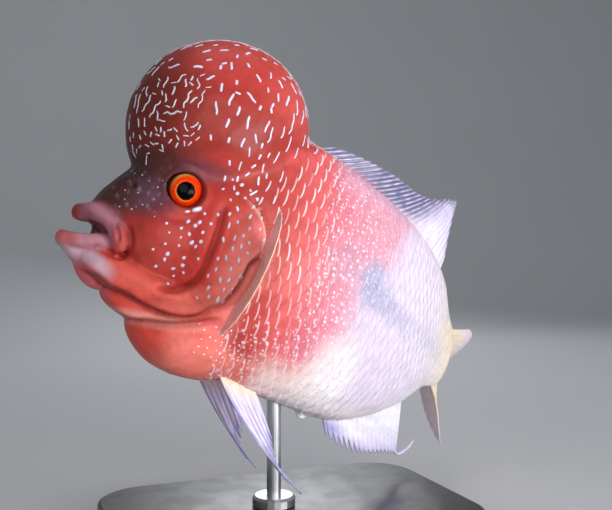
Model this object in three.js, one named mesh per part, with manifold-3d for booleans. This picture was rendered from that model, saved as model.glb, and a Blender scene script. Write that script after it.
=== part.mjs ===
// A life-size display model of an adult flowerhorn cichlid, held over a flat base by one rod.
// Millimetres, +Z up. The fish faces -X with its left side towards -Y, its head pitched up and its tail
// bent away towards +Y. The origin lies on the underside of the base, at its middle.
import * as THREE from "three";
import { mergeVertices } from "three/addons/utils/BufferGeometryUtils.js";
import Module from "manifold-3d";

const wasm = await Module();
wasm.setup();

// Driving dimensions. Every body size below is given along the straightened fish: s runs back from the
// snout, h up from the level of the eye, and l out to the left.
const standardLength = 210; // snout to the root of the tail fin
const tailFinLength = 44;
const pitchDegrees = 18; // head up
const bendStart = 85; // the spine is straight as far as this
const bendDegrees = 34; // heading of the spine at the root of the tail fin
const bendPower = 1.3;
const balancePoint = 95; // the s that stands over the middle of the base
const eyeLevel = 125; // height of the level h = 0, at the balance point, above the table
const gap = 0.3; // between pieces that touch
const trunkHalfWidth = 28;

const baseLength = 150;
const baseWidth = 100;
const baseThickness = 8;
const baseCorner = 22;
const rodRadius = 3;
const rodFootRadius = 9;
const rodFootHeight = 4;
const rodPlace = 112; // the s of the point on the belly that the rod holds

const radians = THREE.MathUtils.degToRad;

// A smooth curve through a few (x, y) points, as a function of x.
function through(points) {
  const slope = points.map((p, i) => {
    const before = points[Math.max(i - 1, 0)];
    const after = points[Math.min(i + 1, points.length - 1)];
    return (after[1] - before[1]) / (after[0] - before[0]);
  });
  return (x) => {
    let i = points.findIndex((p) => p[0] > x) - 1;
    if (i < -1 || x >= points[points.length - 1][0]) return points[points.length - 1][1];
    if (i < 0) return points[0][1];
    const [x0, y0] = points[i];
    const [x1, y1] = points[i + 1];
    const width = x1 - x0;
    const t = (x - x0) / width;
    const rise = t * t * (3 - 2 * t);
    const startPull = t * (1 - t) * (1 - t) * width * slope[i];
    const endPull = t * t * (t - 1) * width * slope[i + 1];
    return y0 + (y1 - y0) * rise + startPull + endPull;
  };
}

// Outlines of the trunk and head without the hump, and its half width.
const backLine = through([
  [11, -23], [14, -19], [18, -11], [24, -1], [34, 10], [50, 23], [70, 33], [92, 37], [113, 33],
  [141, 26], [165, 17.5], [186, 6], [198, -7], [standardLength, -16],
]);
const bellyLine = through([
  [11, -26], [20, -29.5], [30, -35], [38, -44], [50, -50], [62, -57], [80, -67], [97, -70.5],
  [124, -73.5], [140, -74], [160, -68], [182, -57.5], [194, -49.5], [standardLength, -46.5],
]);
const sideLine = through([
  [11, 5.5], [15, 8.5], [22, 12.5], [32, 18], [45, 23], [60, 26.5], [78, trunkHalfWidth],
  [98, trunkHalfWidth], [122, 25.5], [150, 19.5], [178, 11.5], [194, 7.6], [standardLength, 6],
]);
const widestShare = through([[11, 0.5], [40, 0.5], [90, 0.46], [150, 0.5], [standardLength, 0.5]]);

// Where a point of the straightened fish stands on the table, once bent and pitched.
const spineStep = 0.5;
const spineEnd = standardLength + tailFinLength + 60;
function heading(s) {
  const share = Math.max(0, (s - bendStart) / (standardLength - bendStart));
  return radians(bendDegrees) * Math.min(share, 1.12) ** bendPower;
}
const spine = [[0, 0]];
for (let s = 0; s < spineEnd; s += spineStep) {
  const [x, y] = spine[spine.length - 1];
  const turn = heading(s + spineStep / 2);
  spine.push([x + spineStep * Math.cos(turn), y + spineStep * Math.sin(turn)]);
}
const pitch = radians(pitchDegrees);
function place(s, h, l) {
  const at = Math.max(s, 0) / spineStep;
  const i = Math.floor(at);
  const [x0, y0] = spine[i];
  const [x1, y1] = spine[i + 1];
  const turn = heading(s);
  const along = x0 + (x1 - x0) * (at - i) + Math.min(s, 0) - balancePoint + l * Math.sin(turn);
  const across = y0 + (y1 - y0) * (at - i) - l * Math.cos(turn);
  return [
    along * Math.cos(pitch) + h * Math.sin(pitch),
    across,
    eyeLevel - along * Math.sin(pitch) + h * Math.cos(pitch),
  ];
}

// Solids. A solid's own axes are s, l and h, in that order.
function solidOf(geometry) {
  geometry.deleteAttribute("normal");
  geometry.deleteAttribute("uv");
  const merged = mergeVertices(geometry, 1e-4);
  const made = new wasm.Manifold(
    new wasm.Mesh({
      numProp: 3,
      vertProperties: new Float32Array(merged.attributes.position.array),
      triVerts: new Uint32Array(merged.index.array),
    }),
  );
  return made;
}

// A closed solid from rings of points; the two ends are closed by a point in their middle.
function loft(rings) {
  const count = rings[0].length;
  const points = rings.flat();
  const faces = [];
  rings.slice(1).forEach((ring, r) => {
    for (let i = 0; i < count; i++) {
      const next = (i + 1) % count;
      const [a, b] = [r * count + i, r * count + next];
      faces.push(a, a + count, b, b, a + count, b + count);
    }
  });
  [0, rings.length - 1].forEach((r) => {
    const middle = [0, 1, 2].map((k) => rings[r].reduce((sum, p) => sum + p[k], 0) / count);
    points.push(middle);
    for (let i = 0; i < count; i++) {
      const [a, b] = [r * count + i, r * count + ((i + 1) % count)];
      faces.push(...(r ? [b, a, points.length - 1] : [a, b, points.length - 1]));
    }
  });
  const geometry = new THREE.BufferGeometry();
  geometry.setAttribute("position", new THREE.Float32BufferAttribute(points.flat(), 3));
  geometry.setIndex(faces);
  const made = solidOf(geometry);
  if (made.volume() > 0) return made;
  for (let i = 0; i < faces.length; i += 3) [faces[i], faces[i + 1]] = [faces[i + 1], faces[i]];
  geometry.setIndex(faces);
  return solidOf(geometry);
}

function ring(s, top, bottom, side, widest, sides) {
  const middle = bottom + (top - bottom) * widest;
  return Array.from({ length: sides }, (_, i) => {
    const angle = ((i + 0.5) / sides) * 2 * Math.PI;
    const [c, d] = [Math.cos(angle), Math.sin(angle)];
    const reach = d > 0 ? top - middle : middle - bottom;
    return [s, side * Math.sign(c) * Math.abs(c) ** 0.92, middle + reach * d];
  });
}

const trunkStations = [
  11, 12.5, 15, 18, 21, 25, 30, 35, 40, 46, 52, 58, 64, 70, 76, 83, 90, 98, 106, 115, 124, 133,
  142, 151, 160, 169, 177, 184, 190, 196, 203, standardLength,
];
function trunkSolid(grow, sides = 28, stations = trunkStations) {
  return loft(
    stations.map((s, i) => {
      const end = i === 0 ? -grow : i === stations.length - 1 ? grow : 0;
      const [top, bottom] = [backLine(s) + grow, bellyLine(s) - grow];
      return ring(s + end, top, bottom, sideLine(s) + grow, widestShare(s), sides);
    }),
  );
}

// A rounded lump of flesh: its centre, its radii and its lean in the side view.
function lump({ centre, radii, lean = 0, turn = 0, detail = [26, 16] }, grow, side = 1) {
  const shape = new THREE.SphereGeometry(1, detail[0], detail[1]);
  shape.scale(radii[0] + grow, radii[2] + grow, radii[1] + grow);
  shape.rotateY(-radians(lean));
  shape.rotateZ(radians(turn) * side);
  shape.translate(centre[0], (centre[2] || 0) * side, centre[1]);
  return solidOf(shape);
}

// centre and radii are along s, h and l.
const humpLump = { centre: [54, 28.2], radii: [38.2, 35.3, 29.5], lean: 40, detail: [30, 20] };
const cheek = { centre: [47, -21, 13], radii: [17.5, 19, 12], lean: -8, detail: [18, 12] };
const jawBand = { centre: [41, -41.5, 11.5], radii: [25.5, 7.4, 9.5], lean: -9, turn: 14, detail: [20, 10] };
const underLobe = { centre: [44, -49, 5.2], radii: [15.5, 7, 8.5], lean: -9, turn: 8, detail: [18, 10] };
const chinPouch = { centre: [22.6, -43.3, 0], radii: [8, 3.8, 6.6], lean: -34, detail: [14, 10] };
const lipFlap = { centre: [28, -28.2, 15.2], radii: [2.5, 5.4, 2.6], lean: 27, detail: [10, 10] };
const vent = { centre: [126.5, -74, 0], radii: [2.6, 2.6, 1.8], detail: [10, 8] };
const chest = { centre: [69, -54, 0], radii: [28, 18.5, 20.5], detail: [24, 14] };
const gillBulge = { centre: [66, -18, 18.5], radii: [19, 27, 12], lean: 6, detail: [18, 14] };
const eye = { centre: [44.5, -3.5, 17.8], radii: [7.4, 7.4, 6.6], detail: [18, 10] };
const nostril = { centre: [26.5, -7, 12.9], radii: [1.3, 1.1, 2], detail: [10, 8] };

const both = [1, -1];
const mirrored = (shape, grow) => both.map((side) => lump(shape, grow, side));
const joined = (solids) => solids.reduce((whole, one) => whole.add(one));

// The raised rim of skin round each eye.
function eyeRim(side) {
  const [s, h, l] = eye.centre;
  const shape = new THREE.TorusGeometry(7.3, 1.5, 6, 18);
  shape.rotateX(Math.PI / 2);
  shape.rotateZ(radians(-10) * side);
  shape.translate(s, (l + 4.0) * side, h);
  return solidOf(shape);
}

function flesh(grow) {
  return joined([
    trunkSolid(grow), lump(humpLump, grow), lump(chest, grow), lump(vent, grow),
    ...mirrored(cheek, grow), ...mirrored(jawBand, grow), ...mirrored(underLobe, grow),
    ...mirrored(lipFlap, grow),
  ]);
}

// A thick round cord of flesh along a path, thinner towards its two ends.
function fleshCord(path, radius, endShare, grow, sides = 8, steps = 14) {
  const curve = new THREE.CatmullRomCurve3(path.map(([s, h, l]) => new THREE.Vector3(s, l, h)));
  const rings = Array.from({ length: steps + 1 }, (_, i) => {
    const t = i / steps;
    const at = curve.getPoint(t);
    const ahead = curve.getTangent(t);
    const out = new THREE.Vector3(0, 0, 1).cross(ahead).normalize();
    const up = ahead.clone().cross(out).normalize();
    const size = radius * (endShare + (1 - endShare) * Math.sin(Math.PI * t) ** 0.6) + grow;
    return Array.from({ length: sides }, (_, k) => {
      const angle = (k / sides) * 2 * Math.PI;
      const p = at.clone().addScaledVector(out, size * 0.95 * Math.cos(angle));
      return p.addScaledVector(up, size * Math.sin(angle)).toArray();
    });
  });
  return loft(rings);
}

// Each lip's path runs from the left corner of the mouth to the middle, and is mirrored to the right.
const upperLipHalf = [
  [29.5, -32.3, 14], [27, -29.2, 13.8], [24.4, -25.6, 12.4], [21, -22.5, 10], [16.7, -21, 6.8],
];
const upperLipFront = [[13.6, -22, 3], [12.8, -22.3, 0]];
const lowerLipHalf = [[26, -31, 12], [21.4, -30.6, 9.8], [17.4, -32.1, 7.6], [13.4, -33.3, 5]];
const lowerLipFront = [[10.4, -33.4, 2.2], [9.6, -33.2, 0]];
function lipPath(half, front) {
  const left = [...half, ...front];
  const right = left.slice(0, -1).reverse();
  return [...left, ...right.map(([s, h, l]) => [s, h, -l])];
}
const upperLip = (grow) => fleshCord(lipPath(upperLipHalf, upperLipFront), 3.7, 0.6, grow);
const lowerLip = (grow) => fleshCord(lipPath(lowerLipHalf, lowerLipFront), 3.4, 0.6, grow);

const jawTop = through([[9, -34], [14, -33.5], [24, -32], [40, -36]]);
const jawBottom = through([
  [9, -36], [12, -38.8], [16, -41.6], [21, -44.6], [26, -46.8], [32, -46], [40, -45],
]);
const jawSide = through([[9, 3.4], [13, 6], [20, 9.2], [30, 11.5], [40, 12]]);
function jawSolid(grow) {
  const stations = [9, 10, 11.5, 13.5, 16, 19, 23, 27, 31, 35, 40];
  return loft(
    stations.map((s) => ring(s, jawTop(s) + grow, jawBottom(s) - grow, jawSide(s) + grow, 0.55, 20)),
  );
}

// The side view outline of a gill cover, as an upright prism on one side of the fish.
function gillPrism(side, grow) {
  const outline = new THREE.Shape();
  const points = [
    [58.5, 2], [70, 2.5], [77.5, -6], [78.5, -17], [74.5, -28], [69.5, -39], [60, -44], [54, -39.5],
    [57.5, -28], [58, -12],
  ];
  const middle = [66, -18];
  const grown = points.map(([s, h]) => {
    const [ds, dh] = [s - middle[0], h - middle[1]];
    const far = Math.hypot(ds, dh);
    return new THREE.Vector2(s + (ds / far) * grow, h + (dh / far) * grow);
  });
  outline.setFromPoints(new THREE.SplineCurve([...grown, grown[0]]).getPoints(30).slice(0, -1));
  const shape = new THREE.ExtrudeGeometry(outline, { depth: 40, bevelEnabled: false, steps: 1 });
  shape.rotateX(Math.PI / 2);
  shape.translate(0, side > 0 ? 45 : -5, 0);
  return solidOf(shape);
}

// A box of the straightened fish, from its low to its high corner, along s, h and l.
function block(low, high) {
  const shape = new THREE.BoxGeometry(high[0] - low[0], high[2] - low[2], high[1] - low[1]);
  shape.translate((low[0] + high[0]) / 2, (low[2] + high[2]) / 2, (low[1] + high[1]) / 2);
  return solidOf(shape);
}
const far = 400;
const between = (low, high) => block([low, -far, -far], [high, far, far]);

// The space on one side of the slanting plane under the hump.
const humpFront = [22, 0.5];
const humpBack = [95, 36];
function sideOfHumpPlane(above, shift) {
  const slope = Math.atan2(humpBack[1] - humpFront[1], humpBack[0] - humpFront[0]);
  const shape = new THREE.BoxGeometry(far, far, far);
  shape.translate(0, 0, (above ? far / 2 : -far / 2) + shift);
  shape.rotateY(-slope);
  shape.translate(humpFront[0], 0, humpFront[1]);
  return solidOf(shape);
}

// Fins. across runs along the root, 0 to 1, and along runs out a ray, 0 to 1. A ray stands up from the
// membrane on both faces, and the membrane draws back between the ray tips by the share notch(across).
function fin({ rays, steps, ray, out, thick, notch = () => 0.06, membrane = 0.45, tipThick = 0.35 }) {
  const columns = 2 * rays - 1;
  const sheet = (side) =>
    Array.from({ length: columns }, (_, c) => {
      const across = c / (columns - 1);
      const onRay = c % 2 === 0;
      return Array.from({ length: steps + 1 }, (_, r) => {
        const along = r / steps;
        const reach = along * (onRay ? 1 : 1 - notch(across) * along * along);
        const p = new THREE.Vector3(...ray(across, reach));
        const width = thick * (1 - (1 - tipThick) * along) * (onRay ? 1 : membrane);
        const away = new THREE.Vector3(...out(across, reach)).normalize();
        return p.addScaledVector(away, (side * width) / 2).toArray();
      });
    });
  const [front, back] = [sheet(1), sheet(-1)];
  const points = [...front.flat(), ...back.flat()];
  const rows = steps + 1;
  const half = columns * rows;
  const faces = [];
  for (let c = 0; c < columns - 1; c++) {
    for (let r = 0; r < steps; r++) {
      const [a, b] = [c * rows + r, (c + 1) * rows + r];
      const cells = [[a, b, a + 1], [b, b + 1, a + 1]];
      cells.forEach(([i, j, k]) => faces.push(i, j, k, half + i, half + k, half + j));
    }
  }
  const edge = [];
  for (let c = 0; c < columns; c++) edge.push(c * rows);
  for (let r = 1; r < rows; r++) edge.push((columns - 1) * rows + r);
  for (let c = columns - 2; c >= 0; c--) edge.push(c * rows + steps);
  for (let r = steps - 1; r > 0; r--) edge.push(r);
  edge.forEach((a, i) => {
    const b = edge[(i + 1) % edge.length];
    faces.push(b, a, half + a, b, half + a, half + b);
  });
  const geometry = new THREE.BufferGeometry();
  geometry.setAttribute("position", new THREE.Float32BufferAttribute(points.flat(), 3));
  geometry.setIndex(faces);
  const made = solidOf(geometry);
  if (made.volume() > 0) return made;
  for (let i = 0; i < faces.length; i += 3) [faces[i], faces[i + 1]] = [faces[i + 1], faces[i]];
  geometry.setIndex(faces);
  return solidOf(geometry);
}
const mix = (a, b, t) => a + (b - a) * t;

// Fins on the midline: the root runs along the back or belly, and each ray leans back at its own angle.
const finDepth = 5; // how far a ray starts inside the body, before the body is cut away from it
const dorsalLength = through([[0, 8], [0.12, 14], [0.3, 19], [0.5, 23], [0.72, 31], [0.84, 27], [1, 9]]);
const dorsalLean = through([[0, 20], [0.3, 22], [0.5, 26], [0.72, 44], [0.86, 62], [1, 78]]);
function dorsalRay(across, along) {
  const s = mix(98, 184, across);
  const angle = radians(dorsalLean(across)) + radians(5) * along;
  const length = dorsalLength(across) + finDepth;
  const h = backLine(s) - finDepth * Math.sin(angle);
  const sway = 1.6 * Math.sin(9 * across) * along;
  const out = length * along;
  return [s - finDepth * Math.cos(angle) + out * Math.cos(angle), sway, h + out * Math.sin(angle)];
}
const analLength = through([[0, 7], [0.15, 13], [0.35, 18], [0.65, 22], [0.85, 26], [1, 28]]);
const analLean = through([[0, 58], [0.4, 56], [0.8, 58], [1, 66]]);
function analRay(across, along) {
  const s = mix(138, 183, across);
  const angle = radians(analLean(across));
  const length = analLength(across) + finDepth;
  const h = bellyLine(s) + finDepth * Math.sin(angle);
  const sway = -2 * across * along;
  const out = length * along;
  return [s - finDepth * Math.cos(angle) + out * Math.cos(angle), sway, h - out * Math.sin(angle)];
}
const sideways = () => [0, 1, 0];
// The last ray of the anal fin ends in a fine thread that hooks back.
const analThread = [
  [190, -79, -2], [195.5, -82.4, -2], [203, -80.6, -2.4], [208.5, -78, -3], [213, -74.6, -3.6],
];
const spineNotch = (across) => mix(0.36, 0.08, THREE.MathUtils.smoothstep(across, 0.2, 0.45));

// The tail fin is cupped: its middle rays swing away from its left side more than its two lobes.
const tailSpread = through([[0, -36], [0.5, -12], [1, 9]]);
const tailReach = through([[0, 50], [0.2, 53], [0.6, 53], [0.78, 52], [0.9, 50], [0.96, 45], [1, 36]]);
const tailCup = 22;
function tailRay(across, along) {
  const angle = radians(tailSpread(across));
  const edge = Math.abs(2 * across - 1);
  const rootH = mix(-45.5, -17, across);
  const share = across > 0.5 ? (1 - edge) ** 1.8 : 1 - edge ** 1.5;
  const cup = -tailCup * share * along ** 1.5;
  const length = tailReach(across);
  const s = standardLength - 5 + length * along * Math.cos(angle) * (1 - 0.18 * (1 - edge ** 2) * along);
  return [s, cup, rootH + length * along * Math.sin(angle) * (0.75 + 0.25 * along)];
}
function numericNormal(ray) {
  return (across, along) => {
    const step = 0.01;
    const at = (a, b) => new THREE.Vector3(...ray(THREE.MathUtils.clamp(a, 0, 1), Math.max(b, 0)));
    const over = at(across + step, along).sub(at(across - step, along));
    const forward = at(across, along + step).sub(at(across, along - step));
    return over.cross(forward).normalize().toArray();
  };
}

// The breast fins stand out from the side as a fan, seen edge on from ahead of the fish's flank.
const breastLength = through([[0, 19], [0.3, 27], [0.7, 32], [1, 24]]);
const breastRoot = { low: [78, -34, 22], high: [81, -25, 24], depth: 6 };
function breastRay(side) {
  return (across, along) => {
    const rise = radians(mix(-46, 52, across));
    const reach = (breastLength(across) + breastRoot.depth) * along;
    const back = mix(-0.46, -0.26, across) + 0.06 * Math.sin(Math.PI * across) + 0.08 * along;
    const [s, h, l] = [0, 1, 2].map((k) => mix(breastRoot.low[k], breastRoot.high[k], across));
    return [s + reach * back, (l + reach * Math.cos(rise) * 0.96) * side, h + reach * Math.sin(rise)];
  };
}

// The belly fins trail from the breast. Each ray bends from its root past a middle point to its tip, and
// the first soft ray is drawn out long. The right fin is rooted a little further forward.
const bellyFinRoot = [[80, -63.5], [97, -66.5]];
const bellyFinMiddle = [[89, -80], [105, -77]];
const bellyFinTipS = through([[0, 127.5], [0.25, 119], [0.5, 115], [0.75, 113.5], [1, 111]]);
const bellyFinTipH = through([[0, -104], [0.25, -99.5], [0.5, -95], [0.75, -91], [1, -86]]);
const rightFinShift = [-6.5, 1];
function bellyRay(side) {
  const shift = side > 0 ? [0, 0] : rightFinShift;
  return (across, along) => {
    const tip = [bellyFinTipS(across), bellyFinTipH(across)];
    const [s, h] = [0, 1].map((k) => {
      const start = mix(bellyFinRoot[0][k], bellyFinRoot[1][k], across);
      const middle = mix(bellyFinMiddle[0][k], bellyFinMiddle[1][k], across);
      return mix(mix(start, middle, along), mix(middle, tip[k], along), along) + shift[k];
    });
    const fold = 0.7 * Math.sin(14 * across) * along;
    return [s, side * (mix(8.5, 5.5, across) + mix(7, 4, across) * along + fold), h];
  };
}

const wholeFlesh = flesh(0);
const wholeGrown = flesh(gap);
const largest = (solid) =>
  solid.decompose().reduce((best, one) => (one.volume() > best.volume() ? one : best));

// The two jaws and the gill covers.
const jaws = joined([jawSolid(0), lowerLip(0), lump(chinPouch, 0)]);
const gillSource = wholeFlesh.add(joined(mirrored(gillBulge, 0)));
const gillDepth = 4;
const gillStations = [40, 55, 70, 85, 100];
const gillCore = trunkSolid(-gillDepth, 16, gillStations);
const gillCoreInside = trunkSolid(-gillDepth - gap, 16, gillStations);
const gillCover = (side) => largest(gillSource.intersect(gillPrism(side, 0)).subtract(gillCore));
const gillPocket = (side) => gillPrism(side, gap).subtract(gillCoreInside);
const eyes = mirrored(eye, 0);
const sockets = joined(mirrored(eye, gap));

const rimmed = wholeFlesh.add(joined(both.map(eyeRim)));
const carved = joined([sockets, ...both.map(gillPocket), ...mirrored(nostril, 0)]);
const headSpace = between(-far, 81 - gap / 2).intersect(sideOfHumpPlane(false, -gap / 2));
const throatTop = -54.5;
const headBlock = block([-far, throatTop + gap / 2, -far], [far, far, far]);
const throatBlock = block([-far, -far, -far], [81 - gap / 2, throatTop - gap / 2, far]);
const trunkSpace = (low, high) =>
  between(low + gap / 2, high - gap / 2).intersect(sideOfHumpPlane(false, -gap / 2));

const lips = upperLip(0);
const head = rimmed
  .intersect(headSpace)
  .intersect(headBlock)
  .subtract(carved)
  .subtract(upperLip(gap));
const headGrown = wholeGrown.add(upperLip(gap));

const bodyPieces = {
  head,
  nuchal_hump: wholeFlesh.intersect(sideOfHumpPlane(true, gap / 2)),
  upper_lip: lips,
  lower_jaw: jaws.subtract(headGrown),
  throat: wholeFlesh.intersect(throatBlock).subtract(joined(both.map(gillPocket))),
  gill_cover_left: gillCover(1),
  gill_cover_right: gillCover(-1),
  trunk_front: wholeFlesh.intersect(trunkSpace(81, 135)).subtract(joined(both.map(gillPocket))),
  trunk_rear: wholeFlesh.intersect(trunkSpace(135, 188)),
  tail_stalk: wholeFlesh.intersect(trunkSpace(188, far)),
  eye_left: eyes[0],
  eye_right: eyes[1],
};

const gillSourceGrown = wholeGrown.add(joined(mirrored(gillBulge, gap)));
const gillsGrown = joined(both.map((side) => gillSourceGrown.intersect(gillPrism(side, gap))));
const outside = wholeGrown.add(gillsGrown);
// The tail fin is made as its two lobes, either side of a slit.
const tailSplit = 0.006;
function tailLobe(from, to) {
  const ray = (across, along) => tailRay(mix(from, to, across), along);
  return fin({ rays: 8, steps: 6, ray, out: numericNormal(ray), thick: 1.9, notch: () => 0.03 });
}
const finPieces = {
  dorsal_fin: fin({ rays: 23, steps: 4, ray: dorsalRay, out: sideways, thick: 1.7, notch: () => 0.1 }),
  anal_fin: fin({ rays: 14, steps: 4, ray: analRay, out: sideways, thick: 1.6, notch: spineNotch })
    .add(fleshCord(analThread, 0.7, 0.7, 0, 5, 8)),
  tail_fin_upper: tailLobe(0.5 + tailSplit, 1),
  tail_fin_lower: tailLobe(0, 0.5 - tailSplit),
  breast_fin_left: fin({
    rays: 11, steps: 5, ray: breastRay(1), out: numericNormal(breastRay(1)), thick: 1.5,
  }),
  breast_fin_right: fin({
    rays: 11, steps: 5, ray: breastRay(-1), out: numericNormal(breastRay(-1)), thick: 1.5,
  }),
  belly_fin_left: fin({
    rays: 6, steps: 8, ray: bellyRay(1), out: numericNormal(bellyRay(1)), thick: 1.9, notch: () => 0.12,
  }),
  belly_fin_right: fin({
    rays: 6, steps: 8, ray: bellyRay(-1), out: numericNormal(bellyRay(-1)), thick: 1.9, notch: () => 0.12,
  }),
};
Object.keys(finPieces).forEach((name) => {
  finPieces[name] = finPieces[name].subtract(outside);
});

const colours = {
  head: 0xd8432f, nuchal_hump: 0xd03a28, upper_lip: 0xd87f86, lower_jaw: 0xe59a92, throat: 0xf0604a,
  gill_cover_left: 0xdd3f28, gill_cover_right: 0xdd3f28, trunk_front: 0xf0806c,
  trunk_rear: 0xe6c6d6, tail_stalk: 0xead9dc, eye_left: 0xf04a10, eye_right: 0xf04a10,
  dorsal_fin: 0x9a92c4, anal_fin: 0xc9c4e6, tail_fin_upper: 0xe2c4c0, tail_fin_lower: 0xe2c4c0,
  breast_fin_left: 0xe8bda4, breast_fin_right: 0xe8bda4, belly_fin_left: 0xbdb4dc,
  belly_fin_right: 0xbdb4dc,
};

// The axes s, l and h are left-handed, so each face is turned round once it is placed.
function turnedRound(faces) {
  const turned = Array.from(faces);
  for (let i = 0; i < turned.length; i += 3) [turned[i], turned[i + 1]] = [turned[i + 1], turned[i]];
  return turned;
}

const model = new THREE.Group();
function addFishPiece(name, solid, colour, roughness) {
  const mesh = largest(solid).getMesh();
  const points = [];
  for (let i = 0; i < mesh.numVert; i++) {
    const [s, l, h] = mesh.vertProperties.slice(i * mesh.numProp, i * mesh.numProp + 3);
    points.push(...place(s, h, l));
  }
  const geometry = new THREE.BufferGeometry();
  geometry.setAttribute("position", new THREE.Float32BufferAttribute(points, 3));
  geometry.setIndex(turnedRound(mesh.triVerts));
  geometry.computeVertexNormals();
  const material = new THREE.MeshStandardMaterial({ color: colour, roughness, metalness: 0 });
  const piece = new THREE.Mesh(geometry, material);
  piece.name = name;
  model.add(piece);
}
Object.entries(bodyPieces).forEach(([name, solid]) => addFishPiece(name, solid, colours[name], 0.3));
Object.entries(finPieces).forEach(([name, solid]) => addFishPiece(name, solid, colours[name], 0.4));

// The stand: a flat base and one rod up to the belly.
const woodBlack = new THREE.MeshStandardMaterial({ color: 0x1d1a19, roughness: 0.4, metalness: 0 });
const steel = new THREE.MeshStandardMaterial({ color: 0xb9bcc0, roughness: 0.3, metalness: 1 });
const outline = new THREE.Shape();
const [halfLength, halfWidth] = [baseLength / 2, baseWidth / 2];
outline.moveTo(-halfLength + baseCorner, -halfWidth);
outline.lineTo(halfLength - baseCorner, -halfWidth);
outline.absarc(halfLength - baseCorner, -halfWidth + baseCorner, baseCorner, -Math.PI / 2, 0);
outline.absarc(halfLength - baseCorner, halfWidth - baseCorner, baseCorner, 0, Math.PI / 2);
outline.absarc(-halfLength + baseCorner, halfWidth - baseCorner, baseCorner, Math.PI / 2, Math.PI);
outline.absarc(-halfLength + baseCorner, -halfWidth + baseCorner, baseCorner, Math.PI, Math.PI * 1.5);
const bevel = 1.2;
const baseShape = new THREE.ExtrudeGeometry(outline, {
  depth: baseThickness - 2 * bevel, bevelEnabled: true, bevelThickness: bevel, bevelSize: bevel,
  bevelOffset: -bevel, bevelSegments: 2, curveSegments: 8,
});
baseShape.translate(0, 0, bevel);
const base = new THREE.Mesh(baseShape, woodBlack);
base.name = "stand_base";
model.add(base);

const held = place(rodPlace, bellyLine(rodPlace), 0);
const rodRings = [
  [0, 0], [rodFootRadius, 0], [rodFootRadius, rodFootHeight - 1], [rodFootRadius - 1, rodFootHeight],
];
const rodTop = held[2] + 4 - baseThickness;
rodRings.push([rodRadius, rodFootHeight], [rodRadius, rodTop], [0, rodTop]);
const rodShape = new THREE.LatheGeometry(rodRings.map(([r, z]) => new THREE.Vector2(r, z)), 20);
rodShape.rotateX(Math.PI / 2);
rodShape.translate(held[0], held[1], baseThickness + gap);
const belly = trunkSolid(gap).getMesh();
const bellyPoints = new Float32Array(belly.numVert * 3);
for (let i = 0; i < belly.numVert; i++) {
  const [s, l, h] = belly.vertProperties.slice(i * belly.numProp, i * belly.numProp + 3);
  bellyPoints.set(place(s, h, l), i * 3);
}
const bellySolid = new wasm.Manifold(
  new wasm.Mesh({
    numProp: 3,
    vertProperties: bellyPoints,
    triVerts: new Uint32Array(turnedRound(belly.triVerts)),
  }),
);
const rodSolid = largest(solidOf(rodShape).subtract(bellySolid)).getMesh();
const rodGeometry = new THREE.BufferGeometry();
rodGeometry.setAttribute("position", new THREE.Float32BufferAttribute(rodSolid.vertProperties, 3));
rodGeometry.setIndex(Array.from(rodSolid.triVerts));
rodGeometry.computeVertexNormals();
const rod = new THREE.Mesh(rodGeometry, steel);
rod.name = "stand_rod";
model.add(rod);

export default model;
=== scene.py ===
# Flowerhorn cichlid on its stand: skin, scales, pearls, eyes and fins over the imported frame.
import random
from math import asin, atan2, cos, hypot, pi, radians, remainder, sin, sqrt, tan

import bmesh
import bpy
import numpy as np
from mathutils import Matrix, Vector
from mathutils.bvhtree import BVHTree


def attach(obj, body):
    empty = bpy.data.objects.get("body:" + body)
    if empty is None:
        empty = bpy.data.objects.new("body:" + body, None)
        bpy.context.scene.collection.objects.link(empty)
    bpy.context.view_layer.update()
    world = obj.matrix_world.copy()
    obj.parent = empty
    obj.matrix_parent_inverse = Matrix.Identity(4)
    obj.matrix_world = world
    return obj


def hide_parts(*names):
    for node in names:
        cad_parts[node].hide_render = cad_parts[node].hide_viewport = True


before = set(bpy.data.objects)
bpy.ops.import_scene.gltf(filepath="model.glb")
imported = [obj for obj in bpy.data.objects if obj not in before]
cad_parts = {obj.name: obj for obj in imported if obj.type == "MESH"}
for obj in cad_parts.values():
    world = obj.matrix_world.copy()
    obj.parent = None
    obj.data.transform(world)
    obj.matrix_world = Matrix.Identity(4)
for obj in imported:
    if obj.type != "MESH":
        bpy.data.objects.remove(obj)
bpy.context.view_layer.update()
rng = random.Random(7)
mm = 0.001

# The straightened fish, in mm: s back from the snout, h up from the eye, l out to its left.
fish = {"root": 210.0, "tail": 44.0, "pitch": 18.0, "bendStart": 85.0, "bend": 34.0, "power": 1.3,
        "balance": 95.0, "eyeLevel": 125.0}


def through(points):
    xs = np.array([p[0] for p in points], float)
    ys = np.array([p[1] for p in points], float)
    n = len(xs)
    lo = np.maximum(np.arange(n) - 1, 0)
    hi = np.minimum(np.arange(n) + 1, n - 1)
    slope = (ys[hi] - ys[lo]) / (xs[hi] - xs[lo])

    def curve(x):
        x = np.clip(np.asarray(x, float), xs[0], xs[-1])
        i = np.clip(np.searchsorted(xs, x, side="right") - 1, 0, n - 2)
        width = xs[i + 1] - xs[i]
        t = (x - xs[i]) / width
        rise = t * t * (3 - 2 * t)
        return (ys[i] + (ys[i + 1] - ys[i]) * rise + t * (1 - t) ** 2 * width * slope[i]
                + t * t * (t - 1) * width * slope[i + 1])
    return curve


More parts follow.
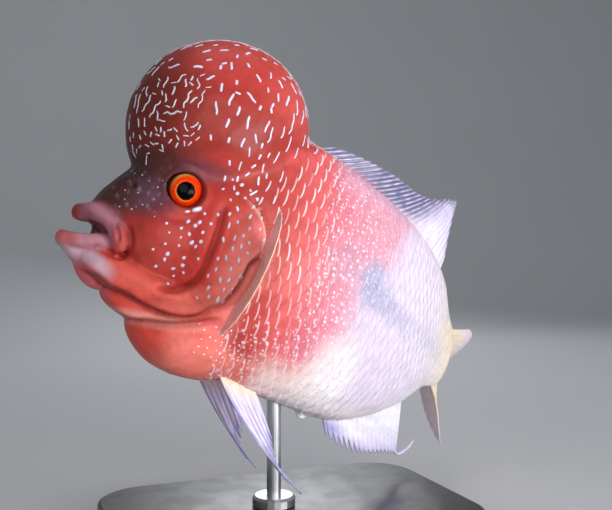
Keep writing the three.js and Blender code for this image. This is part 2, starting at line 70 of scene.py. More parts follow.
root = fish["root"]
backLine = through([(11, -23), (14, -19), (18, -11), (24, -1), (34, 10), (50, 23), (70, 33), (92, 37),
                    (113, 33), (141, 26), (165, 17.5), (186, 6), (198, -7), (root, -16)])
bellyLine = through([(11, -26), (20, -29.5), (30, -35), (38, -44), (50, -50), (62, -57), (80, -67),
                     (97, -70.5), (124, -73.5), (140, -74), (160, -68), (182, -57.5), (194, -49.5),
                     (root, -46.5)])
sideLine = through([(11, 5.5), (15, 8.5), (22, 12.5), (32, 18), (45, 23), (60, 26.5), (78, 28),
                    (98, 28), (122, 25.5), (150, 19.5), (178, 11.5), (194, 7.6), (root, 6)])
widestShare = through([(11, 0.5), (40, 0.5), (90, 0.46), (150, 0.5), (root, 0.5)])


def heading(s):
    share = np.clip((s - fish["bendStart"]) / (root - fish["bendStart"]), 0, 1.12)
    return radians(fish["bend"]) * share ** fish["power"]


spineStep = 0.5
spineS = np.arange(0, root + fish["tail"] + 60, spineStep)
midHeading = heading(spineS[:-1] + spineStep / 2)
spineX = np.concatenate([[0], np.cumsum(spineStep * np.cos(midHeading))])
spineY = np.concatenate([[0], np.cumsum(spineStep * np.sin(midHeading))])


def place(points):
    # The points are (s, -l, h) in mm; the result is in metres, in the frame.
    points = np.asarray(points, float)
    s, l, h = points[:, 0], -points[:, 1], points[:, 2]
    turn = heading(s)
    along = np.interp(s, spineS, spineX) + np.minimum(s, 0) - fish["balance"] + l * np.sin(turn)
    across = np.interp(s, spineS, spineY) - l * np.cos(turn)
    pitch = radians(fish["pitch"])
    out = np.stack([along * cos(pitch) + h * sin(pitch), across,
                    fish["eyeLevel"] - along * sin(pitch) + h * cos(pitch)], 1)
    return out * mm


def ease(low, high, x):
    t = np.clip((np.asarray(x, float) - low) / (high - low), 0, 1)
    return t * t * (3 - 2 * t)


def bell(x, width):
    return np.exp(-(np.asarray(x, float) / width) ** 2)


def colour(code):
    parts = [int(code[i:i + 2], 16) / 255 for i in (0, 2, 4)]
    return np.array([p / 12.92 if p <= 0.04045 else ((p + 0.055) / 1.055) ** 2.4 for p in parts])


def waves(points, size, seed, octaves=3):
    # Smooth random values from -1 to 1, as sums of slanted sine waves.
    local = np.random.default_rng(seed)
    points = np.asarray(points, float)
    total = np.zeros(len(points))
    for octave in range(octaves):
        for _ in range(6):
            way = local.normal(size=3)
            way *= 2 * pi / (size / 1.9 ** octave) / np.linalg.norm(way)
            total += np.sin(points @ way + local.uniform(0, 6.28)) / 1.7 ** octave
    return total / 4.2


def makeObject(name, points, faces, smooth=True):
    mesh = bpy.data.meshes.new(name)
    mesh.from_pydata([tuple(p) for p in np.asarray(points, float)], [], [tuple(f) for f in faces])
    mesh.update()
    made = bpy.data.objects.new(name, mesh)
    bpy.context.collection.objects.link(made)
    if smooth:
        mesh.polygons.foreach_set("use_smooth", [True] * len(mesh.polygons))
    return made


def pull(items, key, width=1, kind=float):
    flat = np.empty(len(items) * width, kind)
    items.foreach_get(key, flat)
    return flat.reshape(-1, width) if width > 1 else flat


def pointsOf(obj):
    return pull(obj.data.vertices, "co", 3)


def setPoints(obj, points):
    obj.data.vertices.foreach_set("co", np.asarray(points, float).ravel())
    obj.data.update()


def paint(obj, name, colours):
    layer = obj.data.attributes.new(name, "FLOAT_COLOR", "POINT")
    full = np.concatenate([np.clip(colours, 0, 1), np.ones((len(colours), 1))], 1)
    layer.data.foreach_set("color", full.ravel())


def pickOnly(*objs):
    bpy.ops.object.select_all(action="DESELECT")
    for o in objs:
        o.select_set(True)
    bpy.context.view_layer.objects.active = objs[0]


def joinAll(objs, name):
    pickOnly(*objs)
    bpy.ops.object.join()
    whole = bpy.context.view_layer.objects.active
    whole.name = name
    return whole


def remesh(obj, voxel):
    pickOnly(obj)
    change = obj.modifiers.new("remesh", "REMESH")
    change.mode = "VOXEL"
    change.voxel_size = voxel
    change.use_smooth_shade = True
    bpy.ops.object.modifier_apply(modifier=change.name)


def relax(obj, rounds, strength):
    # Laplacian smoothing, by an amount from 0 to 1 at each point.
    points = pointsOf(obj)
    edges = pull(obj.data.edges, "vertices", 2, int)
    count = len(points)
    degree = np.bincount(edges.ravel(), minlength=count)[:, None]
    for _ in range(rounds):
        amount = strength(points)[:, None]
        total = np.zeros_like(points)
        for k in range(3):
            total[:, k] = (np.bincount(edges[:, 0], points[edges[:, 1], k], count)
                           + np.bincount(edges[:, 1], points[edges[:, 0], k], count))
        points = points + amount * (total / degree - points)
    setPoints(obj, points)


def gridFaces(rows, width, first=0, closed=True):
    # Quads between rows of points; closed joins the last point of each row to its first.
    faces = []
    for start in range(first, first + (rows - 1) * width, width):
        for i in range(width if closed else width - 1):
            a, b = start + i, start + (i + 1) % width
            faces.append((a, b, b + width, a + width))
    return faces


def flipped(faces):
    return [(a, d, c, b) for a, b, c, d in faces]


def ringLoft(name, rings):
    rings = np.asarray(rings, float)
    rows, sides = rings.shape[:2]
    points = list(rings.reshape(-1, 3)) + [rings[0].mean(0), rings[-1].mean(0)]
    faces = gridFaces(rows, sides)
    last = (rows - 1) * sides
    for i in range(sides):
        j = (i + 1) % sides
        faces += [(j, i, rows * sides), (last + i, last + j, rows * sides + 1)]
    made = makeObject(name, points, faces)
    turnOutward(made)
    return made


def turnOutward(obj, merge=0.0):
    work = bmesh.new()
    work.from_mesh(obj.data)
    if merge:
        bmesh.ops.remove_doubles(work, verts=work.verts, dist=merge)
    bmesh.ops.recalc_face_normals(work, faces=work.faces)
    work.to_mesh(obj.data)
    work.free()


def addMaps(obj, maps):
    corner = pull(obj.data.loops, "vertex_index", kind=int)
    for name, values in maps.items():
        layer = obj.data.uv_layers.new(name=name)
        layer.data.foreach_set("uv", np.asarray(values)[corner].ravel())


# The trunk and the lumps of flesh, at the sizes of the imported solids.
def hoops(stations, top, bottom, side, widest, sides, power=1.0, way=1):
    # Rings across the body, whose widest height is a share of the way from bottom to top.
    angle = (np.arange(sides) + 0.5) / sides * 2 * pi
    c, d = np.cos(angle), np.sin(angle)
    rings = []
    for s in stations:
        high, low = float(top(s)), float(bottom(s))
        middle = low + (high - low) * float(widest(s))
        reach = np.where(d > 0, high - middle, middle - low)
        y = way * float(side(s)) * np.sign(c) * np.abs(c) ** power
        rings.append(np.stack([np.full(sides, s), y, middle + reach * d], 1))
    return rings


def lump(name, centre, radii, lean=0, turn=0, side=1):
    bpy.ops.object.select_all(action="DESELECT")
    bpy.ops.mesh.primitive_uv_sphere_add(segments=64, ring_count=40, radius=1)
    made = bpy.context.active_object
    made.name = name
    points = pointsOf(made) * np.array([radii[0], radii[2], radii[1]])
    a, b = radians(lean), -radians(turn) * side
    x, y, z = points.T
    x, z = x * cos(a) - z * sin(a), x * sin(a) + z * cos(a)
    x, y = x * cos(b) - y * sin(b), x * sin(b) + y * cos(b)
    setPoints(made, np.stack([x + centre[0], y - centre[2] * side, z + centre[1]], 1))
    return made


def fleshCord(name, path, radius, endShare, squash=(0.95, 1.0), sides=28, steps=60):
    path = np.asarray(path, float)
    chord = np.concatenate([[0], np.cumsum(np.linalg.norm(np.diff(path, axis=0), axis=1))])
    curves = [through(list(zip(chord, path[:, k]))) for k in range(3)]
    rings = []
    for i in range(steps + 1):
        t = i / steps * chord[-1]
        at = np.array([c(t) for c in curves]).ravel()
        ahead = np.array([c(t + 0.2) - c(t - 0.2) for c in curves]).ravel()
        ahead = ahead[[0, 2, 1]] * np.array([1, -1, 1])
        ahead /= np.linalg.norm(ahead)
        out = np.cross([0, 0, 1], ahead)
        out /= np.linalg.norm(out)
        up = np.cross(ahead, out)
        size = radius * (endShare + (1 - endShare) * sin(pi * i / steps) ** 0.6)
        spot = np.array([at[0], -at[2], at[1]])
        turn = np.arange(sides) / sides * 2 * pi
        rings.append(spot + size * squash[0] * np.outer(np.cos(turn), out)
                     + size * squash[1] * np.outer(np.sin(turn), up))
    return ringLoft(name, rings)


trunkForm = {"stations": np.arange(11, root + 0.1, 1.5), "sides": 96, "power": 0.92}
humpLump = {"centre": (54, 28.2, 0), "radii": (38.2, 35.3, 29.5), "lean": 40}
chestLump = {"centre": (69, -54, 0), "radii": (28, 18.5, 20.5)}
cheekLumps = {
    "cheek": {"centre": (47, -21, 13), "radii": (17.5, 19, 12), "lean": -8},
    "gill": {"centre": (66, -18, 18.5), "radii": (19, 27, 11.6), "lean": 6},
}
skinForm = {"firstVoxel": 1.1, "firstRelax": 14, "voxel": 0.8, "relax": 4, "softness": 0.5}
flesh = [ringLoft("trunkForm", hoops(trunkForm["stations"], backLine, bellyLine, sideLine, widestShare,
                                     trunkForm["sides"], trunkForm["power"], -1)),
         lump("humpForm", **humpLump), lump("chestForm", **chestLump)]
for name, form in cheekLumps.items():
    flesh += [lump(name + "Form", side=side, **form) for side in (1, -1)]
skin = joinAll(flesh, "skin")
remesh(skin, skinForm["firstVoxel"])


def blendAmount(points):
    # Soft everywhere but at the creases under the hump.
    s, h = points[:, 0], points[:, 2]
    overlapShade = np.maximum(bell(np.hypot(s - 24, h - 1), 6), 0.75 * bell(np.hypot(s - 91, h - 35), 7))
    return skinForm["softness"] * (1 - 0.8 * overlapShade)


relax(skin, skinForm["firstRelax"], blendAmount)
print("flesh", len(skin.data.vertices))

# Jaws, lips and the small folds round the mouth keep their own edges, so they join after the first relaxing.
lipForm = {"upperRadius": 3.7, "lowerRadius": 3.4, "endShare": 0.6,
           "upperHalf": [(29.5, -32.3, 14), (27, -29.2, 13.8), (24.4, -25.6, 12.4), (21, -22.5, 10),
                         (16.7, -21, 6.8), (13.6, -22, 3)], "upperFront": (12.8, -22.3, 0),
           "lowerHalf": [(26, -31, 12), (21.4, -30.6, 9.8), (17.4, -32.1, 7.6), (13.4, -33.3, 5),
                         (10.4, -33.4, 2.2)], "lowerFront": (9.6, -33.2, 0)}
jawForm = {"stations": np.arange(9, 40.1, 1), "sides": 64, "widest": 0.55,
           "top": [(9, -34), (14, -33.5), (24, -32), (40, -36)],
           "bottom": [(9, -36), (12, -38.8), (16, -41.6), (21, -44.6), (26, -46.8), (32, -46), (40, -45)],
           "side": [(9, 3.4), (13, 6), (20, 9.2), (30, 11.5), (40, 12)]}
jawLumps = {
    "jawBand": {"centre": (41, -41.5, 11.5), "radii": (25.5, 7.4, 9.5), "lean": -9, "turn": 14},
    "underLobe": {"centre": (44, -49, 5.2), "radii": (15.5, 7, 8.5), "lean": -9, "turn": 8},
    "lipFlap": {"centre": (28, -28.2, 15.2), "radii": (2.5, 5.4, 2.6), "lean": 27},
}
chinPouch = {"centre": (22.6, -43.3, 0), "radii": (8, 3.8, 6.6), "lean": -34}
ventLump = {"centre": (126.5, -74, 0), "radii": (2.6, 2.6, 1.8)}
jawLines = [through(jawForm[key]) for key in ("top", "bottom", "side")]
mouthForms = [ringLoft("jawForm", hoops(jawForm["stations"], *jawLines, lambda s: jawForm["widest"],
                                        jawForm["sides"])),
              lump("chinForm", **chinPouch), lump("ventForm", **ventLump)]
for word in ("upper", "lower"):
    half = lipForm[word + "Half"]
    path = half + [lipForm[word + "Front"]] + [(s, h, -l) for s, h, l in half[::-1]]
    mouthForms.append(fleshCord(word + "LipForm", path, lipForm[word + "Radius"], lipForm["endShare"]))
for name, form in jawLumps.items():
    mouthForms += [lump(name + "Form", side=side, **form) for side in (1, -1)]
skin = joinAll([skin] + mouthForms, "skin")
remesh(skin, skinForm["voxel"])
relax(skin, skinForm["relax"], lambda points: np.full(len(points), skinForm["softness"]))
print("skin", len(skin.data.vertices))


def denseLine(line, spacing=0.5):
    line = np.asarray(line, float)
    chord = np.concatenate([[0], np.cumsum(np.linalg.norm(np.diff(line, axis=0), axis=1))])
    t = np.arange(0, chord[-1], spacing)
    return np.stack([through(list(zip(chord, line[:, k])))(t) for k in range(2)], 1)


def lineField(s, h, line):
    # Distance to a line in the side view, which side of it (+ left of its way), and the share along it.
    dense = denseLine(line)
    near = np.empty(len(s), int)
    far = np.empty(len(s))
    for start in range(0, len(s), 20000):
        part = slice(start, start + 20000)
        gaps = (s[part, None] - dense[None, :, 0]) ** 2 + (h[part, None] - dense[None, :, 1]) ** 2
        near[part] = gaps.argmin(1)
        far[part] = np.sqrt(gaps.min(1))
    way = np.gradient(dense, axis=0)[near]
    side = np.sign(way[:, 0] * (h - dense[near, 1]) - way[:, 1] * (s - dense[near, 0]))
    return far, side, near / (len(dense) - 1)


def ends(share, fade=0.12):
    return ease(0, fade, share) * ease(1, 1 - fade, share)


eyeForm = {"centre": (44.5, -3.5, 17.8), "radii": (7.4, 7.4, 6.6), "opening": 6.05, "socket": 14.5}
nostrilAt = (26.5, -7.5)
lines = {
    "gillEdge": [(64, 2.5), (69, -0.5), (72.6, -3), (76, -7.1), (77.9, -12.2), (77, -18), (73.8, -22.8),
                 (73.2, -27), (72, -33), (69, -40), (64, -44)],
    "cheekGroove": [(58.2, -3), (58.8, -8), (59.1, -14.6), (58.9, -21.3), (58.5, -28.8), (57.6, -34.4),
                    (55, -38.4), (50, -40.5), (43, -41.3)],
    "jawEdge": [(15, -41.5), (18.5, -42.9), (23.9, -43.7), (29.6, -46), (35.7, -46.7), (42.3, -48.6),
                (50.7, -49.7), (57.7, -49), (64.4, -46.1), (66.5, -42.5), (66, -39)],
    "lobeEdge": [(33, -54), (41.6, -55.6), (48.2, -54), (56.6, -52), (65.3, -48.6), (73.4, -44.8)],
    "lipFold": [(28.6, -21.5), (30.8, -26), (32, -30.5), (30.6, -34.3), (27, -34.8), (24, -33)],
    "flapGap": [(24.5, -22.6), (26.6, -27), (27.4, -30.5)],
    "lipUnder": [(11.2, -36.3), (17.9, -35.3), (22.8, -31.6)],
    "eyeFold": [(35, 2), (38.5, 5), (43, 6.2), (48, 5)],
    "underEye": [(33, -13), (40, -15.5), (47, -14.5), (53, -10)],
}
# Creases with a raised edge on one side: groove depth, place and width, then the same of the raised edge.
creases = {"cheekGroove": (2.1, 0.0, 1.3, 0.7, 2.8, 1.8), "jawEdge": (1.9, 0.5, 1.0, 0.9, 1.6, 1.5),
           "lobeEdge": (1.9, 0.5, 1.1, 0.8, 1.6, 1.6)}
# Plain folds: depth and width.
folds = {"lipFold": (1.2, 0.8), "flapGap": (1.3, 0.6), "lipUnder": (0.6, 0.7), "eyeFold": (0.4, 0.7),
         "underEye": (0.35, 1.2)}
mouthTop = through([(9, -25.5), (14, -25.2), (18, -24.6), (21, -26), (24, -29)])
mouthBottom = through([(9, -30), (14, -30), (18, -29), (21, -27.6), (24, -29)])


def mouthGap(s, h):
    # One inside the open mouth, between the lips, and zero outside it.
    middle, half = (mouthTop(s) + mouthBottom(s)) / 2, (mouthTop(s) - mouthBottom(s)) / 2
    return ease(1.1, 0.5, np.abs(h - middle) / np.maximum(half, 0.15)) * ease(24, 21, s)


def fromEye(s, h):
    return np.hypot(s - eyeForm["centre"][0], h - eyeForm["centre"][1])


def fromNostril(s, h):
    return np.hypot(s - nostrilAt[0], h - nostrilAt[1])


print("sculpt")
skin.data.update()
points = pointsOf(skin)
normals = pull(skin.data.vertices, "normal", 3)
s, h, l = points[:, 0], points[:, 2], np.abs(points[:, 1])
flank = ease(0.15, 0.5, np.abs(normals[:, 1]))
push = np.zeros(len(points))
far, side, share = lineField(s, h, lines["gillEdge"])
inFront = far * -side
push += flank * ends(share) * (1.4 * ease(-0.3, 0.9, inFront) * bell(np.maximum(inFront, 0), 13)
                               - 1.4 * bell(inFront + 1.5, 1.5) + 0.7 * bell(inFront - 1.2, 0.9))
for name, (depth, below, width, rise, above, riseWidth) in creases.items():
    far, side, share = lineField(s, h, lines[name])
    push += flank * ends(share) * (rise * bell(far * side - above, riseWidth)
                                   - depth * bell(far * side + below, width))
for name, (depth, width) in folds.items():
    far, side, share = lineField(s, h, lines[name])
    push += flank * ends(share, 0.2) * (-depth * bell(far, width)
                                        + 0.25 * depth * bell(far - 2.2 * width, width))
push -= 3.0 * mouthGap(s, h)
onSide = ease(8, 12, l)
push += onSide * 0.85 * bell(fromEye(s, h) - 7.7, 1.0)
gap = fromNostril(s, h)
push += ease(6, 9, l) * (-1.8 * (1 - ease(0.4, 1.3, gap)) + 0.4 * bell(gap - 1.7, 0.6))
push += 0.22 * waves(points, 15, 3) * ease(205, 150, s)
hole = onSide * (1 - ease(eyeForm["opening"] - 0.5, eyeForm["opening"] + 0.4, fromEye(s, h)))
points = points + normals * push[:, None]
points[:, 1] = points[:, 1] * (1 - hole) + np.sign(points[:, 1]) * eyeForm["socket"] * hole
setPoints(skin, points)
relax(skin, 1, lambda p: np.full(len(p), 0.35))
points = pointsOf(skin)
straightSkin = BVHTree.FromPolygons([tuple(p) for p in points],
                                    [tuple(p.vertices) for p in skin.data.polygons])


def nearest(point):
    return straightSkin.find_nearest(point)[:2]


def alongSkin(way, normal):
    return (way - normal * way.dot(normal)).normalized()


# Colour of the skin and scales at points of the straightened fish. Some of the colours are painted shade and
# painted light, marked where they are used.
palette = {name: colour(code) for name, code in {
    "hump": "9a2e26", "humpTop": "bc3e38", "humpFrontShade": "64261e", "humpBaseShade": "4a2c26", "humpHighlight": "d05c56",
    "darkSnoutAndShade": "3e2422", "dusk": "5a3e4e", "cheekLow": "b8463e", "gill": "ff9088", "gillRim": "eebcb0",
    "upperLip": "8c5260", "lipTop": "a8707e", "lowerLip": "b87c8a", "lipFront": "b85450", "chin": "c4a2b2",
    "chinLow": "c8626a", "jaw": "d6584a", "jawRear": "f07468", "lobe": "d44a40", "lobeLow": "e8968a",
    "chest": "ec7c70", "belly": "fdf4f2", "bellyFront": "fcd8d2", "paintedFoldShade": "8e241c", "recessShade": "4a1814",
    "blotch": "98a0be", "stalk": "f0dcc0", "backLilac": "e2b0cc", "napeTop": "e06060", "snoutDot": "7f7890",
}.items()}
redStops = [(60, "a2362e"), (70, "ac3c34"), (84, "c24a44"), (95, "dc6262"), (105, "de7684"), (115, "e2889a"),
            (125, "e498aa"), (140, "e4a4b8"), (165, "e6b4c6")]
lilacStops = [(110, "d8bcd6"), (125, "d8c8e0"), (145, "e2d2ea"), (170, "e8daec"), (190, "ecdde2"),
              (205, "ecdccc")]
cheekStops = [(40, "aa342e"), (52, "ae362e"), (62, "a8382e"), (78, "ae4038")]
gillStops = [(40, "aa342e"), (52, "c03c34"), (62, "dc4e42"), (70, "f27670"), (78, "f67e78")]
lilacShift = through([(-74, 14), (-50, 6), (-35, 4), (-20, 3), (-10, 1), (0, -10), (10, -17), (25, -25),
                      (37, -30)])
# The dark flecks of the flank: centre, radii and amount.
blotches = [((113, -9), (8, 8), 0.35), ((126, -13), (6, 9), 0.9), ((133, -19), (8, 6), 0.6),
            ((142, -22), (8, 5), 0.4), ((152, -25), (8, 4.5), 0.35), ((170, -27), (10, 4), 0.3),
            ((188, -29), (8, 4), 0.2)]
# Shade in the folds: width and amount.
foldShade = {"lobeEdge": (1.1, 0.8), "jawEdge": (1.0, 0.75), "cheekGroove": (1.2, 0.8), "lipFold": (0.8, 0.5),
             "flapGap": (0.6, 0.55), "lipUnder": (0.6, 0.3), "underEye": (0.9, 0.15)}


def stopColour(t, stops):
    at = [p[0] for p in stops]
    codes = np.array([colour(p[1]) for p in stops])
    return np.stack([np.interp(t, at, codes[:, k]) for k in range(3)], 1)


def patch(s, h, centre, radii, lean=0.0, soft=0.35):
    a = radians(lean)
    ds, dh = s - centre[0], h - centre[1]
    x, y = ds * cos(a) + dh * sin(a), -ds * sin(a) + dh * cos(a)
    return 1 - ease(1 - soft, 1 + soft, np.hypot(x / radii[0], y / radii[1]))


def mixLayers(base, s, h, layers):
    # Each layer is a colour, an amount and, where it is an oval patch, its centre, radii, lean and softness.
    for name, amount, *area in layers:
        amount = np.clip(amount * patch(s, h, *area) if area else amount, 0, 1)[:, None]
        base = base * (1 - amount) + palette[name] * amount
    return base


def fleshColour(points):
    s, h, l = points[:, 0], points[:, 2], np.abs(points[:, 1])
    drift = waves(points, 22, 5)
    lilac = ease(-8, 8, s + lilacShift(h) + 3 * drift - 125)[:, None]
    base = stopColour(s + 2 * drift, redStops) * (1 - lilac) + stopColour(s, lilacStops) * lilac
    low, high = bellyLine(s), backLine(s)
    ratio = (h - low) / (high - low)
    wobble = 1 + 0.2 * waves(points, 9, 9)
    layers = [("napeTop", 0.5 * ease(0.8, 0.95, ratio) * ease(115, 95, s)),
              ("backLilac", 0.5 * ease(14, 24, h) * ease(98, 112, s)),
              ("bellyFront", ease(-50, -64, h + drift) * ease(86, 98, s) * ease(124, 112, s)),
              ("belly", 0.8, (122, -56), (11, 16), 0, 0.6),
              ("belly", 0.8 * ease(0.14, 0.0, ratio + 0.02 * drift) * ease(100, 112, s)),
              ("stalk", 0.7, (202, -20), (14, 12), 0, 0.6)]
    for centre, radii, amount in blotches:
        across = s * wobble + centre[0] * (1 - wobble)
        layers.append(("blotch", 0.8 * amount * patch(across, h, centre, radii, -12, 0.6)))
    base = mixLayers(base, s, h, layers)
    # The head, from the front of the trunk forwards.
    head = ease(82, 74, s + 0.3 * drift)[:, None]
    share = ease(4, -14, h)[:, None]
    cheek = stopColour(s, cheekStops) * (1 - share) + stopColour(s, gillStops) * share
    base = base * (1 - head) + cheek * head
    above = ease(-2, 4, h - 0.45 * (s - 24)) * ease(98, 90, s)
    # Painted light: a brighter patch on the gill cover that offsets the breast fin's shadow.
    layers = [("gill", 0.75, (73, -27), (8, 15), -12, 0.6),
              ("cheekLow", 0.6, (38, -32), (12, 9), 0, 0.6),
              ("jawRear", 1, (59, -44), (13, 6), 22, 0.5),
              ("jaw", 0.9, (36, -42), (18, 6), -8, 0.4),
              ("lobe", ease(-46, -50, h + 0.14 * (s - 40)) * ease(78, 62, s)),
              ("lobeLow", 1, (46, -54), (20, 2.6), 8, 0.6),
              ("chest", ease(-50, -57, h + 0.1 * (s - 50)) * ease(100, 84, s) * ease(50, 62, s)),
              ("hump", above),
              ("humpTop", above * ease(24, 52, h)),
              # Painted highlight on the upper rear of the hump.
              ("humpHighlight", 0.6 * above, (84, 48), (18, 16), 40, 0.7),
              # Painted shade on the front of the hump, the side away from the light.
              ("humpFrontShade", 0.9 * above, (20, 20), (15, 30), 0, 0.7),
              # Painted shade in the crease under the overhanging front of the hump.
              ("humpBaseShade", 0.85, (31, 3), (14, 6.5), 22, 0.7),
              # The snout's dark brown-red is partly its own colour and partly painted shade under the hump.
              ("darkSnoutAndShade", 0.95, (23, -9), (16, 11), 35, 0.45),
              ("dusk", 0.7, (35, -9), (8, 7), 30, 0.6),
              ("dusk", 0.6, (48, 5), (10, 4), 12, 0.6),
              ("snoutDot", 0.55 * ease(0.5, 0.95, waves(points, 3.2, 61, 2)), (31, -8), (12, 11), 20, 0.4),
              ("chin", 0.95, (17, -38.5), (12, 4.6), -16, 0.35),
              ("chinLow", 1, (23, -45), (9, 3.2), -28, 0.4),
              ("upperLip", ease(17.5, 15.5, l), (20.5, -24), (10.5, 6), -32, 0.22),
              ("lipTop", 0.8, (18, -20.3), (8, 1.8), -22, 0.6),
              ("lowerLip", ease(15.5, 13.5, l), (16.5, -32.2), (9, 3.4), 6, 0.22),
              ("lipFront", 0.7, (9.5, -32.8), (4, 3.4), 0, 0.5),
              ("lipFront", 0.7 * ease(13, 15, l), (28.6, -28.5), (2.4, 5), 27, 0.4)]
    # Painted shade along the folds.
    for name, (width, amount) in foldShade.items():
        far, side, share = lineField(s, h, lines[name])
        layers.append(("paintedFoldShade", amount * ends(share, 0.15) * bell(far, width)))
    # Painted shade inside the open mouth.
    layers.append(("recessShade", 0.97 * mouthGap(s, h)))
    # A pale rim in front of the gill cover's edge, then painted shade in the groove behind that edge, round
    # the eye's socket and in the nostril.
    far, side, share = lineField(s, h, lines["gillEdge"])
    layers += [("gillRim", 0.75 * ends(share, 0.2) * bell(far * -side - 0.7, 0.7)),
               ("paintedFoldShade", 0.75 * ends(share, 0.2) * bell(far * -side + 1.3, 1.0)),
               ("humpBaseShade", ease(8, 12, l) * 0.6 * bell(fromEye(s, h) - 6.5, 0.8)),
               ("recessShade", 0.9 * (1 - ease(0.8, 1.6, fromNostril(s, h))) * ease(6, 9, l))]
    base = mixLayers(base, s, h, layers)
    mottle = 1 + 0.08 * waves(points, 6, 21)[:, None] + 0.05 * waves(points, 2.2, 22)[:, None]
    return np.clip(base * mottle, 0, 1)


print("paint the skin")
paint(skin, "paint", fleshColour(points))
setPoints(skin, place(points))
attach(skin, "root")
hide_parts("head", "nuchal_hump", "upper_lip", "lower_jaw", "throat", "gill_cover_left",
            "gill_cover_right", "trunk_front", "trunk_rear", "tail_stalk")


def addNode(tree, kind, inputs=None, **settings):
    # Inputs are constants or output sockets, by name or number.
    node = tree.nodes.new("ShaderNode" + kind)
    for key, value in settings.items():
        setattr(node, key, value)
    for key, value in (inputs or {}).items():
        if hasattr(value, "links"):
            tree.links.new(value, node.inputs[key])
        else:
            node.inputs[key].default_value = value
    return node


def mathNode(tree, kind, *values, clamp=False):
    return addNode(tree, "Math", dict(enumerate(values)), operation=kind, use_clamp=clamp).outputs[0]


def rampNode(tree, value, low, high, outLow=0.0, outHigh=1.0):
    return addNode(tree, "MapRange", {"Value": value, "From Min": low, "From Max": high, "To Min": outLow,
                                      "To Max": outHigh}, interpolation_type="SMOOTHSTEP").outputs["Result"]


def mixNode(tree, amount, first, second, kind="MIX"):
    first, second = [c if hasattr(c, "links") else (*c, 1) for c in (first, second)]
    return addNode(tree, "Mix", {"Factor": amount, 6: first, 7: second}, data_type="RGBA",
                   blend_type=kind).outputs[2]


def mapNode(tree, name):
    return addNode(tree, "UVMap", uv_map=name).outputs["UV"]


def attributeNode(tree, name):
    return addNode(tree, "Attribute", attribute_name=name).outputs["Color"]


def objectSpot(tree):
    return addNode(tree, "TexCoord").outputs["Object"]


def makeMaterial(name, rough, coat, bump, bumpSize=900.0, metal=0.0, subsurface=0.0, shine=0.5, painted=True):
    made = bpy.data.materials.new(name)
    made.use_nodes = True
    tree = made.node_tree
    shader = tree.nodes["Principled BSDF"]
    for key, value in {"Roughness": rough, "Metallic": metal, "Coat Weight": coat, "Coat Roughness": 0.12,
                       "Specular IOR Level": shine, "Subsurface Weight": subsurface,
                       "Subsurface Radius": (0.006, 0.002, 0.0015), "Subsurface Scale": 0.4}.items():
        shader.inputs[key].default_value = value
    if painted:
        tree.links.new(attributeNode(tree, "paint"), shader.inputs["Base Color"])
    if bump:
        noise = addNode(tree, "TexNoise", {"Vector": objectSpot(tree), "Scale": bumpSize, "Detail": 4})
        lift = addNode(tree, "Bump", {"Strength": bump, "Distance": 0.0006, "Height": noise.outputs["Fac"]})
        tree.links.new(lift.outputs["Normal"], shader.inputs["Normal"])
    return made, tree, shader


skinMaterial, tree, shader = makeMaterial("wetSkin", rough=0.42, coat=0.06, bump=0.22, bumpSize=700,
                                          subsurface=0.12, shine=0.2)
skin.data.materials.clear()
skin.data.materials.append(skinMaterial)


# Scales: overlapping plates in rows along the flank, dropped where a row runs off the back or belly.
def flankSpot(s, theta, side):
    low, high = float(bellyLine(s)), float(backLine(s))
    middle = low + (high - low) * float(widestShare(s))
    away = Vector((0, -side * cos(theta), sin(theta)))
    reach = scaleForm["castFrom"]
    return straightSkin.ray_cast(Vector((s, 0, middle)) + away * reach, -away, reach)[:2]


# In mm, or as shares of a scale's length or of the gap between rows.
scaleForm = {"long": 1.35, "tall": 0.6, "front": 0.45, "rear": 0.7, "rearShift": 0.15, "lift": 0.14,
             "under": 0.32, "crown": 0.12, "skirt": 0.5, "alongSteps": 6, "acrossSteps": 10, "castFrom": 95,
             "first": 62.0, "last": 1.5, "rows": 16, "bakeSize": 0.005}
columnStep = through([(60, 2.15), (85, 2.15), (120, 2.0), (150, 1.9), (root, 1.7)])
columnGap = through([(60, 13), (85, 13), (120, 11.5), (150, 9.5), (root, 7)])
rowLean = through([(-50, -0.06), (-30, -0.1), (-16, -0.12), (-3, 0.0), (8, 0.12), (25, 0.16)])
gillLimit = through([(-75, 72), (-55, 72), (-44, 72), (-38, 74), (-30, 76), (-18, 79), (-10, 79), (0, 75),
                     (6, 74), (14, 77), (24, 84), (32, 92), (40, 96)])


def scaleMarks(s, h):
    # How much pale rim, pale sparkle and darker front a scale at this place carries; the rim is partly pale
    # pigment and partly painted highlight, the darker front is painted shade.
    rim = 0.3 + 0.7 * ease(107, 97, s) - 0.18 * ease(110, 126, s)
    rim = rim * (1 - 0.5 * ease(-18, -30, h) * ease(104, 98, s))
    dot = ease(95, 101, s) * (1 - 0.5 * ease(120, 136, s) - 0.25 * ease(136, 162, s))
    dot = np.maximum(dot, 0.8 * ease(-41, -47, h) * ease(120, 112, s))
    # The darker front is painted shade under the lifted rear edge of the scale ahead.
    overlapShade = 0.5 + 0.3 * ease(118, 145, s)
    return np.stack([rim, dot, overlapShade], -1)


